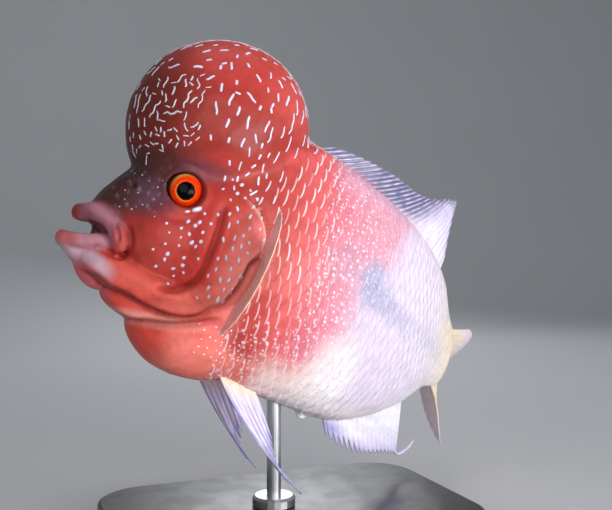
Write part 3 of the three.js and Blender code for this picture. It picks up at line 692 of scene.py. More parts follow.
def buildScales(side):
    form = scaleForm
    points, faces, tones, plates, seats, flats = [], [], [], [], [], []
    nA, nB = form["alongSteps"], form["acrossSteps"]
    s = form["first"]
    column = 0
    while s < root - form["last"]:
        step, gap = float(columnStep(s)), float(columnGap(s))
        hits = [(theta, flankSpot(s, theta, side)[0]) for theta in np.radians(np.arange(-88, 89, 3))]
        theta = np.array([a for a, spot in hits if spot is not None])
        where = np.array([tuple(spot) for a, spot in hits if spot is not None])
        arc = np.concatenate([[0], np.cumsum(np.linalg.norm(np.diff(where, axis=0), axis=1))])
        arc -= np.interp(0, theta, arc)
        rows = np.arange(-form["rows"], form["rows"] + 1) + (0.5 if column % 2 else 0)
        for reach in rows * gap + rng.uniform(-0.2, 0.2):
            if reach < arc[0] - 0.3 * gap or reach > arc[-1] + 0.3 * gap:
                continue
            angle = float(np.interp(reach, arc, theta)) + rng.uniform(-0.006, 0.006)
            spot, normal = flankSpot(s + rng.uniform(-0.25, 0.25), angle, side)
            if spot is None or spot.x < float(gillLimit(spot.z)) + 1.0:
                continue
            normal = normal.normalized()
            along = alongSkin(Vector((1, 0, 0)), normal)
            across = normal.cross(along)
            long, tall = 2 * step * form["long"], gap * form["tall"]
            first = len(points)
            lean = rng.uniform(-0.06, 0.06) + side * float(rowLean(spot.z))
            for i in range(nA + 1):
                for j in range(nB + 1):
                    share, v = i / nA, 2 * j / nB - 1
                    rear = long * (form["rear"] * sqrt(max(0, 1 - 0.97 * v * v)) - form["rearShift"])
                    x = -form["front"] * long + (rear + form["front"] * long) * i / nA
                    y = v * tall
                    near, up = nearest(spot + along * (x + lean * y) + across * y)
                    lift = (form["lift"] + form["under"]) * share ** 0.75 - form["under"]
                    points.append(tuple(near + up * (lift - form["crown"] * v * v)))
                    plates.append(((rear - x) / long, 0.5 + 0.5 * v, share))
                    flats.append(((s + x) / 10, (reach + side * y) / 10))
            faces += flipped(gridFaces(nA + 1, nB + 1, first, closed=False))
            rim = [first + i * (nB + 1) for i in range(1, nA + 1)]
            rim += [first + nA * (nB + 1) + j for j in range(1, nB + 1)]
            rim += [first + i * (nB + 1) + nB for i in range(nA - 1, 0, -1)]
            skirt = len(points)
            for a in rim:
                points.append(tuple(Vector(points[a]) - nearest(Vector(points[a]))[1] * form["skirt"]))
                plates.append(plates[a])
                flats.append(flats[a])
            for k in range(len(rim) - 1):
                faces.append((rim[k], skirt + k, skirt + k + 1, rim[k + 1]))
            count = len(points) - first
            tones += [(*spot, rng.uniform(-1, 1), rng.uniform(-1, 1))] * count
            seats += [(s, reach)] * count
        s += step
        column += 1
    if side < 0:
        faces = [tuple(reversed(f)) for f in faces]
    made = makeObject("scales_left" if side > 0 else "scales_right", points, faces)
    points, tones, plates, seats = [np.array(values) for values in (points, tones, plates, seats)]
    marks = scaleMarks(tones[:, 0], tones[:, 2])
    marks[:, 0] *= np.clip(0.8 + 0.5 * tones[:, 4], 0.25, 1.1)
    paint(made, "paint", fleshColour(points) * (1 + 0.05 * tones[:, 3:4]))
    paint(made, "marks", marks)
    size = form["bakeSize"]
    u = 0.02 + 0.94 * (seats[:, 0] - 55) / 160 + size * (0.5 - plates[:, 2])
    v = 0.5 + seats[:, 1] / 170 + size * (plates[:, 1] - 0.5)
    addMaps(made, {"plate": plates[:, :2], "flat": flats, "OFBake": np.stack([u, v], 1)})
    setPoints(made, place(points))
    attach(made, "root")
    return made


print("scales")
scalePieces = [buildScales(1), buildScales(-1)]
scaleMaterial, tree, shader = makeMaterial("scalePlates", rough=0.4, coat=0.05, bump=0.12, bumpSize=1500,
                                           subsurface=0.08, shine=0.2, painted=False)
# A pale crescent on the rear edge, partly pale pigment and partly painted highlight, small pale sparkles over
# the rest, and a darker front, painted shade under the rear edge of the scale ahead.
scaleTones = {"overlapShade": (0.8, 0.66, 0.7), "sparkle": colour("eed8ec"), "sparkleRed": colour("f6dce8"),
              "rim": colour("fbdfe6")}
toRear, across = addNode(tree, "SeparateXYZ", {0: mapNode(tree, "plate")}).outputs[:2]
offMiddle = mathNode(tree, "ABSOLUTE", mathNode(tree, "SUBTRACT", across, 0.5))
markRim, markDot, markOverlapShade = addNode(tree, "SeparateColor", {0: attributeNode(tree, "marks")}).outputs[:3]
rearRim = mathNode(tree, "MULTIPLY", rampNode(tree, toRear, 0.13, 0.07),
                   rampNode(tree, offMiddle, 0.26, 0.17))
rimAmount = mathNode(tree, "MULTIPLY", rearRim, markRim)
ruffle = addNode(tree, "TexNoise", {"Scale": 14, "Vector": mapNode(tree, "flat")}, noise_dimensions="2D")
shifted = addNode(tree, "MixRGB", {"Fac": 0.07, "Color1": mapNode(tree, "flat"),
                                   "Color2": ruffle.outputs["Color"]}, blend_type="ADD")
cells = addNode(tree, "TexVoronoi", {"Scale": 4.5, "Randomness": 0.9, "Vector": shifted.outputs["Color"]},
                voronoi_dimensions="2D")
cellSplit = addNode(tree, "SeparateColor", {0: cells.outputs["Color"]})
cellSize = mathNode(tree, "MULTIPLY_ADD", cellSplit.outputs[0], 0.17, 0.19)
dotShape = mathNode(tree, "MULTIPLY", mathNode(tree, "SUBTRACT", cellSize, cells.outputs["Distance"]), 8.0,
                    clamp=True)
dotAmount = mathNode(tree, "MULTIPLY", dotShape, markDot)
overlapShadeAmount = mathNode(tree, "MULTIPLY", rampNode(tree, toRear, 0.3, 0.6), markOverlapShade)
tint = mixNode(tree, overlapShadeAmount, attributeNode(tree, "paint"), scaleTones["overlapShade"], "MULTIPLY")
tint = mixNode(tree, dotAmount, tint, mixNode(tree, markRim, scaleTones["sparkle"], scaleTones["sparkleRed"]))
tint = mixNode(tree, rimAmount, tint, scaleTones["rim"])
tree.links.new(tint, shader.inputs["Base Color"])
for piece in scalePieces:
    piece.data.materials.append(scaleMaterial)
    print(piece.name, len(piece.data.vertices), len(piece.data.polygons))

# Pearls: thin raised strokes and small domes of pale skin over the hump, cheeks and gill covers.
pearlParts = {"points": [], "faces": [], "colours": [], "spots": [], "placed": {1: [], -1: []}}
# The violet edge of each pearl is partly its own tint and partly painted shade round its raised middle.
pearlTones = {"core": colour("f2eefa"), "edge": colour("8c78c0"), "green": colour("d6e2d6")}
# The cross-section of a stroke and the rings of a dome: how far out, how high and how bright.
strokeShape = ((-1, -0.8), (-0.62, 0.55), (0, 1), (0.62, 0.55), (1, -0.8))
domeShape = ((1.0, -0.8, 0.0), (0.72, 0.6, 0.55), (0.3, 1.0, 1.0))
domeSides = 10
bakeForm = {"centre": (54, 0, 20), "up": Vector((0.7, 0, 0.7)).normalized(),
            "front": Vector((-0.7, 0, 0.7)).normalized(), "size": 0.0036}


def bakeSpot(point, shift):
    # A place on the unwrap of a sphere round the hump, with its poles at the snout and behind the nape.
    away = (Vector(point) - Vector(bakeForm["centre"])).normalized()
    turn = atan2(away.y, away.dot(bakeForm["front"]))
    rise = asin(max(-1, min(1, away.dot(bakeForm["up"]))))
    return (0.5 + 0.48 * turn / pi + bakeForm["size"] * shift[0],
            0.5 + 0.96 * rise / pi + bakeForm["size"] * shift[1])


def clearOf(path, side, gap, skip=0):
    placed = pearlParts["placed"][side]
    if len(placed) <= skip:
        return True
    old = np.array(placed[:len(placed) - skip])
    new = np.array([tuple(p) for p in path])
    return np.min(np.linalg.norm(old[:, None] - new[None], axis=2)) > gap


def addPoint(at, core, soft, bright, spot):
    pearlParts["points"].append(tuple(at))
    pearlParts["colours"].append((pearlTones["edge"] + (core - pearlTones["edge"]) * soft) * bright)
    pearlParts["spots"].append(spot)


def addStroke(path, side, width, height=0.2, bright=1.0, gap=1.3, skip=0, green=0.0):
    if not clearOf(path, side, gap, skip):
        return 0
    pearlParts["placed"][side] += [tuple(p) for p in path]
    steps = len(path) - 1
    rings = [nearest(Vector(p)) for p in path]
    first = len(pearlParts["points"])
    core = pearlTones["core"] * (1 - green) + pearlTones["green"] * green
    for i, (near, normal) in enumerate(rings):
        normal = normal.normalized()
        inside = 0 < i < steps
        ahead = alongSkin(rings[min(i + 1, steps)][0] - rings[max(i - 1, 0)][0], normal)
        out = normal.cross(ahead)
        share = i / steps
        wide = 0.5 * width * max(0.12, 1 - (2 * share - 1) ** 4) ** 0.5
        for k, up in strokeShape:
            at = near + out * (k * wide) + normal * (height * (up if inside else -0.8))
            addPoint(at, core, (1 - abs(k) ** 1.7) * (1 if inside else 0.3), bright,
                     bakeSpot(rings[steps // 2][0], (share - 0.5, 0.5 * k)))
    pearlParts["faces"] += flipped(gridFaces(len(path), len(strokeShape), first, closed=False))
    return len(path)


def addDome(spot, normal, angle, long, wide, height, side, bright=1.0, gap=0.4):
    if not clearOf([spot], side, 0.5 * max(long, wide) + gap):
        return
    pearlParts["placed"][side].append(tuple(spot))
    normal = normal.normalized()
    ahead = alongSkin(Vector((cos(angle), 0, sin(angle))), normal)
    out = normal.cross(ahead)
    first = len(pearlParts["points"])
    wobble = [rng.uniform(0.85, 1.12) for _ in range(domeSides)]
    for r, up, soft in domeShape:
        for j in range(domeSides):
            turn = 2 * pi * j / domeSides
            near, outward = nearest(spot + ahead * (0.5 * long * r * wobble[j] * cos(turn))
                                    + out * (0.5 * wide * r * wobble[j] * sin(turn)))
            addPoint(near + outward * (height * up), pearlTones["core"], soft, bright,
                     bakeSpot(spot, (0.5 * r * cos(turn), 0.5 * r * sin(turn))))
    pearlParts["faces"] += gridFaces(len(domeShape), domeSides, first)
    top = first + (len(domeShape) - 1) * domeSides
    pearlParts["faces"].append(tuple(top + j for j in range(domeSides)))


def skinFrom(s, h, side):
    return straightSkin.ray_cast(Vector((s, -side * 80, h)), Vector((0, side, 0)), 80)[:2]


def walk(spot, normal, angle, length, curl, wiggle=0.0, step=0.75):
    # A path over the skin through a middle spot, at an angle in the side view that turns as it goes.
    half = []
    phase = rng.uniform(0, 6.28)
    for way in (-1, 1):
        here, turn, trail = Vector(spot), angle, []
        for k in range(max(2, round(length / 2 / step))):
            bend = turn + wiggle * sin(phase + way * k * 1.3)
            ahead = Vector((cos(bend), 0, sin(bend))) * way * step
            ahead -= normal * ahead.dot(normal)
            if ahead.length > 1e-6:
                ahead = ahead.normalized() * step
            here = nearest(here + ahead)[0]
            turn += curl * step * way
            trail.append(here.copy())
        half.append(trail)
    return half[0][::-1] + [Vector(spot)] + half[1]


def scatter(form, inside, side):
    kept = []
    for _ in range(form["tries"]):
        s, h = rng.uniform(*form["s"]), rng.uniform(*form["h"])
        if not inside(s, h):
            continue
        spot, normal = skinFrom(s, h, side)
        if spot is None or abs(normal.y) < 0.1:
            continue
        if all(hypot((spot.x - o.x), (spot.z - o.z) / form["stretch"], spot.y - o.y) > form["gap"]
               for o, n, a, b in kept):
            kept.append((spot, normal, s, h))
    return kept


def clearOfEye(s, h):
    return hypot(s - eyeForm["centre"][0], h - eyeForm["centre"][1]) >= 8.6


def humpEdge(s):
    return 0.45 * (s - 24) + 4


def humpZone(s, h):
    if s < 41 - 0.2 * (h - 20) and h < 38:
        return "base" if h < 12 + 0.4 * (s - 20) else "net"
    if h > 50 or s < 44 and h > 38:
        return "top"
    if s > 66 and h < 42 or s > 72:
        return "rear"
    return "middle"


def humpAngle(zone, s, h):
    if zone != "top":
        return humpZones[zone]["angle"]
    return atan2(h - 26, s - 56) + pi / 2


# Marks of the hump: gap and sizes in mm. The angle of the top zone comes from humpAngle.
humpField = {"tries": 5200, "s": (17, 96), "h": (2, 66)}
zoneKeys = ("gap", "stretch", "long", "wide", "curl", "wiggle", "angle", "spread", "branch", "green", "near")
humpZones = {zone: dict(zip(zoneKeys, values)) for zone, values in {
    "base": (1.6, 1.0, (1.6, 4), (0.65, 0.95), 0.1, 0.5, pi / 2, 0.9, 0.4, 0.8, 0.8),
    "net": (2.1, 1.25, (3.5, 9), (0.7, 1.05), 0.1, 0.6, pi / 2 + 0.1, 0.7, 0.8, 0.5, 0.95),
    "middle": (4.7, 1.35, (2.6, 6), (1.05, 1.5), 0.05, 0.2, pi / 2 + 0.25, 0.25, 0.1, 0.0, 1.5),
    "top": (5.2, 1.0, (2.2, 5.5), (1.1, 1.6), 0.1, 0.35, None, 0.6, 0.25, 0.0, 1.5),
    "rear": (4.3, 1.5, (5.5, 11), (0.95, 1.3), 0.09, 0.25, pi / 2 - 0.05, 0.16, 0.15, 0.0, 1.4),
}.items()}
strokeAreas = [
    {"tries": 900, "s": (70, 96), "h": (0, 36), "gap": 4.2, "stretch": 1.5, "aim": (-0.1, 0.15),
     "long": (4.5, 8), "curl": 0.11, "wide": (0.8, 1.1), "bright": (0.88, 1),
     "inside": lambda s, h: 72 < s < 94 and 1 < h < humpEdge(s) and s < float(gillLimit(h)) + 4},
    {"tries": 900, "s": (54, 76), "h": (0, 28), "gap": 2.9, "stretch": 1.3, "aim": (0, 0.4),
     "long": (1.5, 4.5), "curlSpread": 0.08, "wide": (0.9, 1.3), "bright": (0.86, 1),
     "inside": lambda s, h: 56 < s < 74 and 1.5 < h < humpEdge(s) and clearOfEye(s, h)},
]
# On the gill cover, the snout and the chest.
domeAreas = [
    {"tries": 900, "s": (60, 78), "h": (-42, 1), "gap": 2.9, "stretch": 1.35, "aim": (0, 0.3),
     "long": (1.9, 3.6), "wide": (1.1, 1.6), "tall": 0.26, "bright": (0.86, 1), "apart": 0.3,
     "inside": lambda s, h: 60.5 < s < min(77, float(gillLimit(h)) - 2.5) and -41 < h < 0},
    {"tries": 60, "s": (24, 38), "h": (-18, -1), "gap": 3.2, "stretch": 1.0, "angle": 0,
     "long": (0.6, 1.1), "wide": (0.6, 1.0), "tall": 0.16, "bright": (0.4, 0.7), "apart": 0.4,
     "inside": lambda s, h: hypot(s - nostrilAt[0], h - nostrilAt[1]) > 3 and clearOfEye(s, h)},
    {"tries": 700, "s": (62, 78), "h": (-62, -46), "gap": 2.6, "stretch": 1.0, "angle": 0.4,
     "long": (0.8, 1.6), "wide": (0.6, 0.9), "tall": 0.2, "bright": (0.75, 0.95), "apart": 0.4,
     "fade": (60, 68), "inside": lambda s, h: h < -47 - 0.3 * max(74 - s, 0)},
]
cheekPearls = [(53, -10), (48, -14.5), (56, -13.5), (50.5, -15.5), (46, -17.5), (54.5, -17), (43, -21.5),
               (47.5, -21.5), (51, -22.5), (53.8, -23.5), (43, -25.5), (47, -24.5), (55.5, -27), (51, -28),
               (42, -34), (45, -31), (51, -31), (50.5, -35.5), (49.5, -39), (57, 1), (59.5, 6), (63, 4.8),
               (67.5, 4.5), (71, 1.5), (60, -2.5), (52.5, -13.3), (49.3, -19.3), (45, -28), (48.7, -33.3),
               (54.3, -20.4), (53, -33.5), (39.5, -29), (41, -18.5), (57, -9.5), (62, 1.2), (66, 0.8)]
# Two long pearls under the eye: place, length and width.
underEyePearls = [(49.8, -9.4, 5.0, 2.4), (46.8, -11.3, 2.8, 1.5)]

print("pearls")
for side in (1, -1):
    for s, h in cheekPearls:
        spot, normal = skinFrom(s + rng.uniform(-0.6, 0.6), h + rng.uniform(-0.6, 0.6), side)
        big = rng.uniform(1.1, 1.9)
        addDome(spot, normal, rng.uniform(0.6, 2.4), big * rng.uniform(1, 1.6), big, 0.24, side,
                rng.uniform(0.82, 0.97))
    for s, h, long, wide in underEyePearls:
        addDome(*skinFrom(s, h, side), 0.55, long, wide, 0.35, side, 1.0, 0)
    for zone, form in humpZones.items():
        def inZone(s, h):
            return h > humpEdge(s) and clearOfEye(s, h) and humpZone(s, h) == zone

        for spot, normal, s, h in scatter({**humpField, **form}, inZone, side):
            angle = humpAngle(zone, s, h) + rng.gauss(0, form["spread"])
            curl = form["curl"] if zone == "rear" else rng.gauss(0, form["curl"])
            path = walk(spot, normal, angle, rng.uniform(*form["long"]), curl, form["wiggle"])
            wide, bright = rng.uniform(*form["wide"]), rng.uniform(0.86, 1)
            made = addStroke(path, side, wide, 0.24, bright, form["near"], 0, form["green"])
            if made and rng.random() < form["branch"]:
                end = rng.choice((0, -1))
                turn = angle + rng.choice((-1, 1)) * rng.uniform(0.7, 1.3) + (pi if end == 0 else 0)
                ahead = Vector((cos(turn), 0, sin(turn)))
                near, outward = nearest(path[end])
                length = rng.uniform(2, 4)
                arm = walk(near + ahead * (length / 2), outward, turn, length, 0, 0.3)
                addStroke(arm, side, wide * 0.85, 0.18, bright, 1.0, made, form["green"])
    for area in strokeAreas:
        for spot, normal, s, h in scatter(area, area["inside"], side):
            angle, length = pi / 2 + rng.gauss(*area["aim"]), rng.uniform(*area["long"])
            curl = area["curl"] if "curl" in area else rng.gauss(0, area["curlSpread"])
            addStroke(walk(spot, normal, angle, length, curl), side, rng.uniform(*area["wide"]), 0.2,
                      rng.uniform(*area["bright"]))
    for area in domeAreas:
        for spot, normal, s, h in scatter(area, area["inside"], side):
            angle = area["angle"] if "angle" in area else pi / 2 + rng.gauss(*area["aim"])
            long, wide, bright = [rng.uniform(*area[key]) for key in ("long", "wide", "bright")]
            if "fade" in area:
                bright = bright * float(ease(*area["fade"], s)) + 0.2
            addDome(spot, normal, angle, long, wide, area["tall"], side, bright, area["apart"])

pearls = makeObject("pearls", pearlParts["points"], pearlParts["faces"])
turnOutward(pearls)
paint(pearls, "paint", np.array(pearlParts["colours"]))
addMaps(pearls, {"OFBake": pearlParts["spots"]})
setPoints(pearls, place(pearlParts["points"]))
pearlMaterial, tree, shader = makeMaterial("pearlSkin", rough=0.3, coat=0.35, bump=0.08, bumpSize=2500)
pearls.data.materials.append(pearlMaterial)
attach(pearls, "root")
print("pearls", len(pearls.data.polygons))


# Fins: sheets with a raised ray every few columns, branching towards the edge.
def mixed(a, b, t):
    return a + (b - a) * t


# Lengths and places in mm, angles in degrees, all along the fin from its first ray to its last.
dorsalForm = {"root": (98, 184), "sunk": 5, "bend": 5, "up": 1, "line": backLine,
              "out": lambda across: -1.6 * np.sin(9 * across),
              "length": through([(0, 8), (0.12, 14), (0.3, 19), (0.5, 23), (0.72, 31), (0.84, 27), (1, 9)]),
              "lean": through([(0, 20), (0.3, 22), (0.5, 26), (0.72, 44), (0.86, 62), (1, 78)])}
analForm = {"root": (138, 183), "sunk": 5, "bend": 0, "up": -1, "line": bellyLine,
            "out": lambda across: 2 * across,
            "length": through([(0, 7), (0.15, 13), (0.35, 18), (0.65, 22), (0.85, 26), (1, 28)]),
            "lean": through([(0, 58), (0.4, 56), (0.8, 58), (1, 66)])}
tailForm = {"root": (-45.5, -17), "sunk": 5, "out": 22, "fork": 0.18,
            "spread": through([(0, -36), (0.5, -12), (1, 9)]),
            "length": through([(0, 50), (0.2, 53), (0.6, 53), (0.78, 52), (0.9, 50), (0.96, 45), (1, 36)])}
breastForm = {"rootS": (78, 81), "rootH": (-34, -25), "rootL": (22, 24), "rise": (-46, 52),
              "back": (-0.46, -0.26), "sunk": 6,
              "length": through([(0, 19), (0.3, 27), (0.7, 32), (1, 24)])}
bellyForm = {"rootS": (80, 97), "rootH": (-63.5, -66.5), "bendS": (89, 105), "bendH": (-80, -77),
             "rootL": (8.5, 5.5), "out": (7, 4), "wave": (0.7, 14), "farShift": (-6.5, 1),
             "tipS": through([(0, 127.5), (0.25, 119), (0.5, 115), (0.75, 113.5), (1, 111)]),
             "tipH": through([(0, -104), (0.25, -99.5), (0.5, -95), (0.75, -91), (1, -86)])}


def edgeRay(form):
    def ray(across, along):
        s = mixed(*form["root"], across)
        angle = np.radians(form["lean"](across)) + radians(form["bend"]) * along
        length = (form["length"](across) + form["sunk"]) * along
        h = form["line"](s) - form["up"] * form["sunk"] * np.sin(angle)
        s = s - form["sunk"] * np.cos(angle) + length * np.cos(angle)
        return np.stack([s, form["out"](across) * along, h + form["up"] * length * np.sin(angle)], -1)
    return ray


def tailRay(across, along):
    form = tailForm
    angle = np.radians(form["spread"](across))
    edge = np.abs(2 * across - 1)
    share = np.where(across > 0.5, (1 - edge) ** 1.8, 1 - edge ** 1.5)
    length = form["length"](across) * along
    s = root - form["sunk"] + length * np.cos(angle) * (1 - form["fork"] * (1 - edge ** 2) * along)
    return np.stack([s, form["out"] * share * along ** 1.5,
                     mixed(*form["root"], across) + length * np.sin(angle) * (0.75 + 0.25 * along)], -1)


def breastRay(side):
    form = breastForm

    def ray(across, along):
        rise = np.radians(mixed(*form["rise"], across))
        reach = (form["length"](across) + form["sunk"]) * along
        back = mixed(*form["back"], across) + 0.06 * np.sin(pi * across) + 0.08 * along
        return np.stack([mixed(*form["rootS"], across) + reach * back,
                         -side * (mixed(*form["rootL"], across) + reach * np.cos(rise) * 0.96),
                         mixed(*form["rootH"], across) + reach * np.sin(rise)], -1)
    return ray


def bellyRay(side):
    form = bellyForm
    shift = (0, 0) if side > 0 else form["farShift"]

    def bow(key, across, along):
        start, middle = mixed(*form["root" + key], across), mixed(*form["bend" + key], across)
        return mixed(mixed(start, middle, along), mixed(middle, form["tip" + key](across), along), along)

    def ray(across, along):
        paintedFoldShade = form["wave"][0] * np.sin(form["wave"][1] * across) * along
        l = mixed(*form["rootL"], across) + mixed(*form["out"], across) * along + paintedFoldShade
        s, h = bow("S", across, along) + shift[0], bow("H", across, along) + shift[1]
        return np.stack([s, -side * l, h], -1)
    return ray


def buildFin(name, nodes, ray, rays, form):
    perRay, rows = form["perRay"], form["rows"]
    columns = (rays - 1) * perRay + 1
    across = np.repeat(np.linspace(0, 1, columns)[:, None], rows + 1, 1)
    along = np.repeat((np.linspace(0, 1, rows + 1) ** 0.9)[None, :], columns, 0)
    off = across * (rays - 1) - np.round(across * (rays - 1))
    # Each ray splits in two from the share of its length called branch.
    split = 0.24 * ease(form["branch"], 1, along)
    onRay = bell(np.abs(np.abs(off) - split), mixed(0.2, 0.12, along))
    reach = along * (1 - form["notch"](across) * along ** 2 * (1 - bell(off, 0.3)))
    where = ray(across, reach)
    step = 0.004
    over = ray(np.clip(across + step, 0, 1), reach) - ray(np.clip(across - step, 0, 1), reach)
    forward = ray(across, reach + step) - ray(across, np.maximum(reach - step, 0))
    away = np.cross(over.reshape(-1, 3), forward.reshape(-1, 3)).reshape(where.shape)
    away /= np.linalg.norm(away, axis=2, keepdims=True) + 1e-12
    thick = form["thick"] * (1 - 0.6 * along)
    width = form["skin"] * (1 - 0.35 * along) + (thick - form["skin"] * 0.6) * onRay
    away *= (width / 2)[..., None]
    points = np.concatenate([(where + away).reshape(-1, 3), (where - away).reshape(-1, 3)])
    half = columns * (rows + 1)
    faces = []
    for a, b, c, d in gridFaces(columns, rows + 1, closed=False):
        faces += [(a, d, c, b), (half + a, half + b, half + c, half + d)]
    edge = [c * (rows + 1) for c in range(columns)]
    edge += [(columns - 1) * (rows + 1) + r for r in range(1, rows + 1)]
    edge += [c * (rows + 1) + rows for c in range(columns - 2, -1, -1)]
    edge += [r for r in range(rows - 1, 0, -1)]
    for a, b in zip(edge, edge[1:] + edge[:1]):
        faces.append((a, half + a, half + b, b))
    made = makeObject(name, points, faces)
    turnOutward(made)
    tones = form["tone"](across.ravel(), along.ravel(), onRay.ravel(), off.ravel(), where.reshape(-1, 3))
    paint(made, "paint", np.concatenate([tones, tones]))
    setPoints(made, place(points))
    made.data.materials.append(finMaterial)
    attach(made, "root")
    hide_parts(*nodes)
    print(name, len(made.data.polygons))


finTones = {name: colour(code) for name, code in {
    "slate": "5a5884", "lilac": "cfc4e8", "white": "ece8f4", "blueEdge": "7f7cc8", "red": "d8584c",
    "cream": "f0d6b8", "peach": "fcbcb0", "coral": "e88074", "pink": "e6c6d4", "pinkGrey": "deb2b8",
    "sand": "f2c8b2",
}.items()}


def noisy(tones, where, seed, amount=0.1):
    return np.clip(tones * (1 + amount * waves(where, 5, seed)[:, None]), 0, 1)


def layered(start, where, seed, layers, amount=0.1):
    tone = np.tile(finTones[start], (len(where), 1))
    for name, share in layers:
        share = np.clip(share, 0, 1)[:, None]
        tone = tone * (1 - share) + finTones[name] * share
    return noisy(tone, where, seed, amount)


def dorsalTone(across, along, onRay, off, where):
    # Slate between pale rays in front, then a lavender soft part; red where it joins the back.
    return layered("slate", where, 41, [
        ("lilac", 0.9 * ease(0.55, 0.8, across)),
        ("white", 0.8 * onRay * (0.75 + 0.5 * waves(where, 4, 51))),
        ("white", 0.5 * ease(0.6, 0.75, across) * ease(0.7, 0.3, along)),
        ("red", 0.9 * ease(0.45, 0.14, along) * ease(0.5, 0.1, across)),
        ("pink", 0.7 * ease(0.4, 0.12, along) * ease(0.3, 0.6, across)),
        ("slate", 0.75 * ease(0.84, 0.99, along))])


def analTone(across, along, onRay, off, where):
    front = ease(0.3, 0.04, across) * ease(0.2, 0.6, along)
    tip = ease(0.78, 1.0, along) * (0.35 + 0.65 * ease(0.7, 0.2, across))
    return layered("lilac", where, 42, [
        ("white", 0.6 * onRay), ("white", 0.9 * ease(0.95, 0.4, along)),
        ("blueEdge", 0.8 * np.maximum(front, tip)), ("white", 0.3 * onRay * along)])


def tailTone(across, along, onRay, off, where):
    return layered("cream", where, 43, [
        ("white", 0.4 * ease(0.35, 0.7, along)), ("lilac", 0.6 * ease(0.6, 1.0, along)),
        ("white", 0.25 * onRay)])


def breastTone(across, along, onRay, off, where):
    return layered("sand", where, 44, [
        ("pinkGrey", 0.8 * ease(0.6, 0.95, across)), ("peach", 0.9 * ease(0.45, 0.15, across)),
        ("coral", 0.5 * ease(0.4, 0.15, along)), ("white", 0.25 * onRay)], 0.06)


def bellyTone(across, along, onRay, off, where):
    lead = ease(0.16, 0.0, across) * ease(0.1, 0.4, along)
    return layered("cream", where, 45, [
        ("lilac", ease(0.12, 0.45, along)), ("white", 0.55 * onRay),
        ("slate", 0.55 * ease(0.3, 0.5, np.abs(off)) * ease(0.1, 0.5, along)),
        ("blueEdge", np.maximum(0.85 * lead, 0.75 * ease(0.7, 1.0, along))),
        ("white", 0.25 * onRay * ease(0.6, 1, along))])


def evenNotch(depth):
    return lambda across: depth


print("fins")
finMaterial, tree, shader = makeMaterial("finSkin", rough=0.35, coat=0.3, bump=0.12, bumpSize=1800,
                                         subsurface=0.2)
finForm = {"perRay": 8, "rows": 34, "branch": 0.35, "thick": 1.5, "skin": 0.6}
buildFin("dorsalFin", ["dorsal_fin"], edgeRay(dorsalForm), 30,
         dict(finForm, tone=dorsalTone, branch=0.9, notch=evenNotch(0.1)))
buildFin("analFin", ["anal_fin"], edgeRay(analForm), 18,
         dict(finForm, tone=analTone, notch=lambda across: mixed(0.36, 0.08, ease(0.2, 0.45, across))))
buildFin("tailFin", ["tail_fin_upper", "tail_fin_lower"], tailRay, 17,
         dict(finForm, tone=tailTone, notch=evenNotch(0.02), rows=44, thick=1.1))
for side, word in ((1, "left"), (-1, "right")):
    buildFin("breastFin_" + word, ["breast_fin_" + word], breastRay(side), 14,
             dict(finForm, tone=breastTone, thick=1.0, notch=evenNotch(0.02)))
    buildFin("bellyFin_" + word, ["belly_fin_" + word], bellyRay(side), 7,
             dict(finForm, tone=bellyTone, perRay=12, rows=48, thick=1.6, notch=evenNotch(0.14)))

# The last ray of the anal fin ends in a fine thread.
threadForm = {"radius": 0.7, "endShare": 0.5, "sides": 12, "steps": 40,
              "path": [(190, -79, -2), (195.5, -82.4, -2), (203, -80.6, -2.4), (208.5, -78, -3),
                       (213, -74.6, -3.6)]}
thread = fleshCord("analThread", threadForm["path"], threadForm["radius"], threadForm["endShare"],
                   sides=threadForm["sides"], steps=threadForm["steps"])
threadPoints = pointsOf(thread)
paint(thread, "paint", layered("lilac", threadPoints, 46, []))
setPoints(thread, place(threadPoints))
thread.data.materials.append(finMaterial)
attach(thread, "root")

# Eyes: a ball with the iris and pupil painted on it; distances from the pupil are in mm.
eyeTones = {"pupil": colour("020206"), "gold": colour("ffb23c"), "ring": colour("f23806"),
            "ringDark": colour("c82a06"), "olive": colour("b89a4a"), "edge": colour("3a1208")}
ballForm = {"rows": 60, "sides": 96, "pupilShift": (0.4, 0.6), "streaks": 23, "oliveAt": 2.2, "goldAt": 4.0}


def eyeTone(r, turn, behind):
    if behind:
        return eyeTones["edge"]
    fromPupil = hypot(r * cos(turn) + ballForm["pupilShift"][0], r * sin(turn) + ballForm["pupilShift"][1])
    streak = 0.5 + 0.5 * sin(turn * ballForm["streaks"] + 2.2 * sin(turn * 5))
    front = bell(remainder(turn - ballForm["oliveAt"], 2 * pi), 0.8)
    low = bell(remainder(turn - ballForm["goldAt"], 2 * pi), 1.5)
    tone = eyeTones["ring"] * (0.8 + 0.3 * streak)
    for name, amount in (("ringDark", 0.8 * ease(4.7, 5.7, r)), ("olive", 0.85 * ease(4.8, 5.6, r) * front),
                         ("gold", bell(fromPupil - 3.72, 0.17) * (0.1 + 0.7 * low)),
                         ("pupil", ease(3.65, 3.4, fromPupil)), ("edge", ease(5.9, 6.3, r))):
        tone = tone + (eyeTones[name] - tone) * float(amount)
    return tone


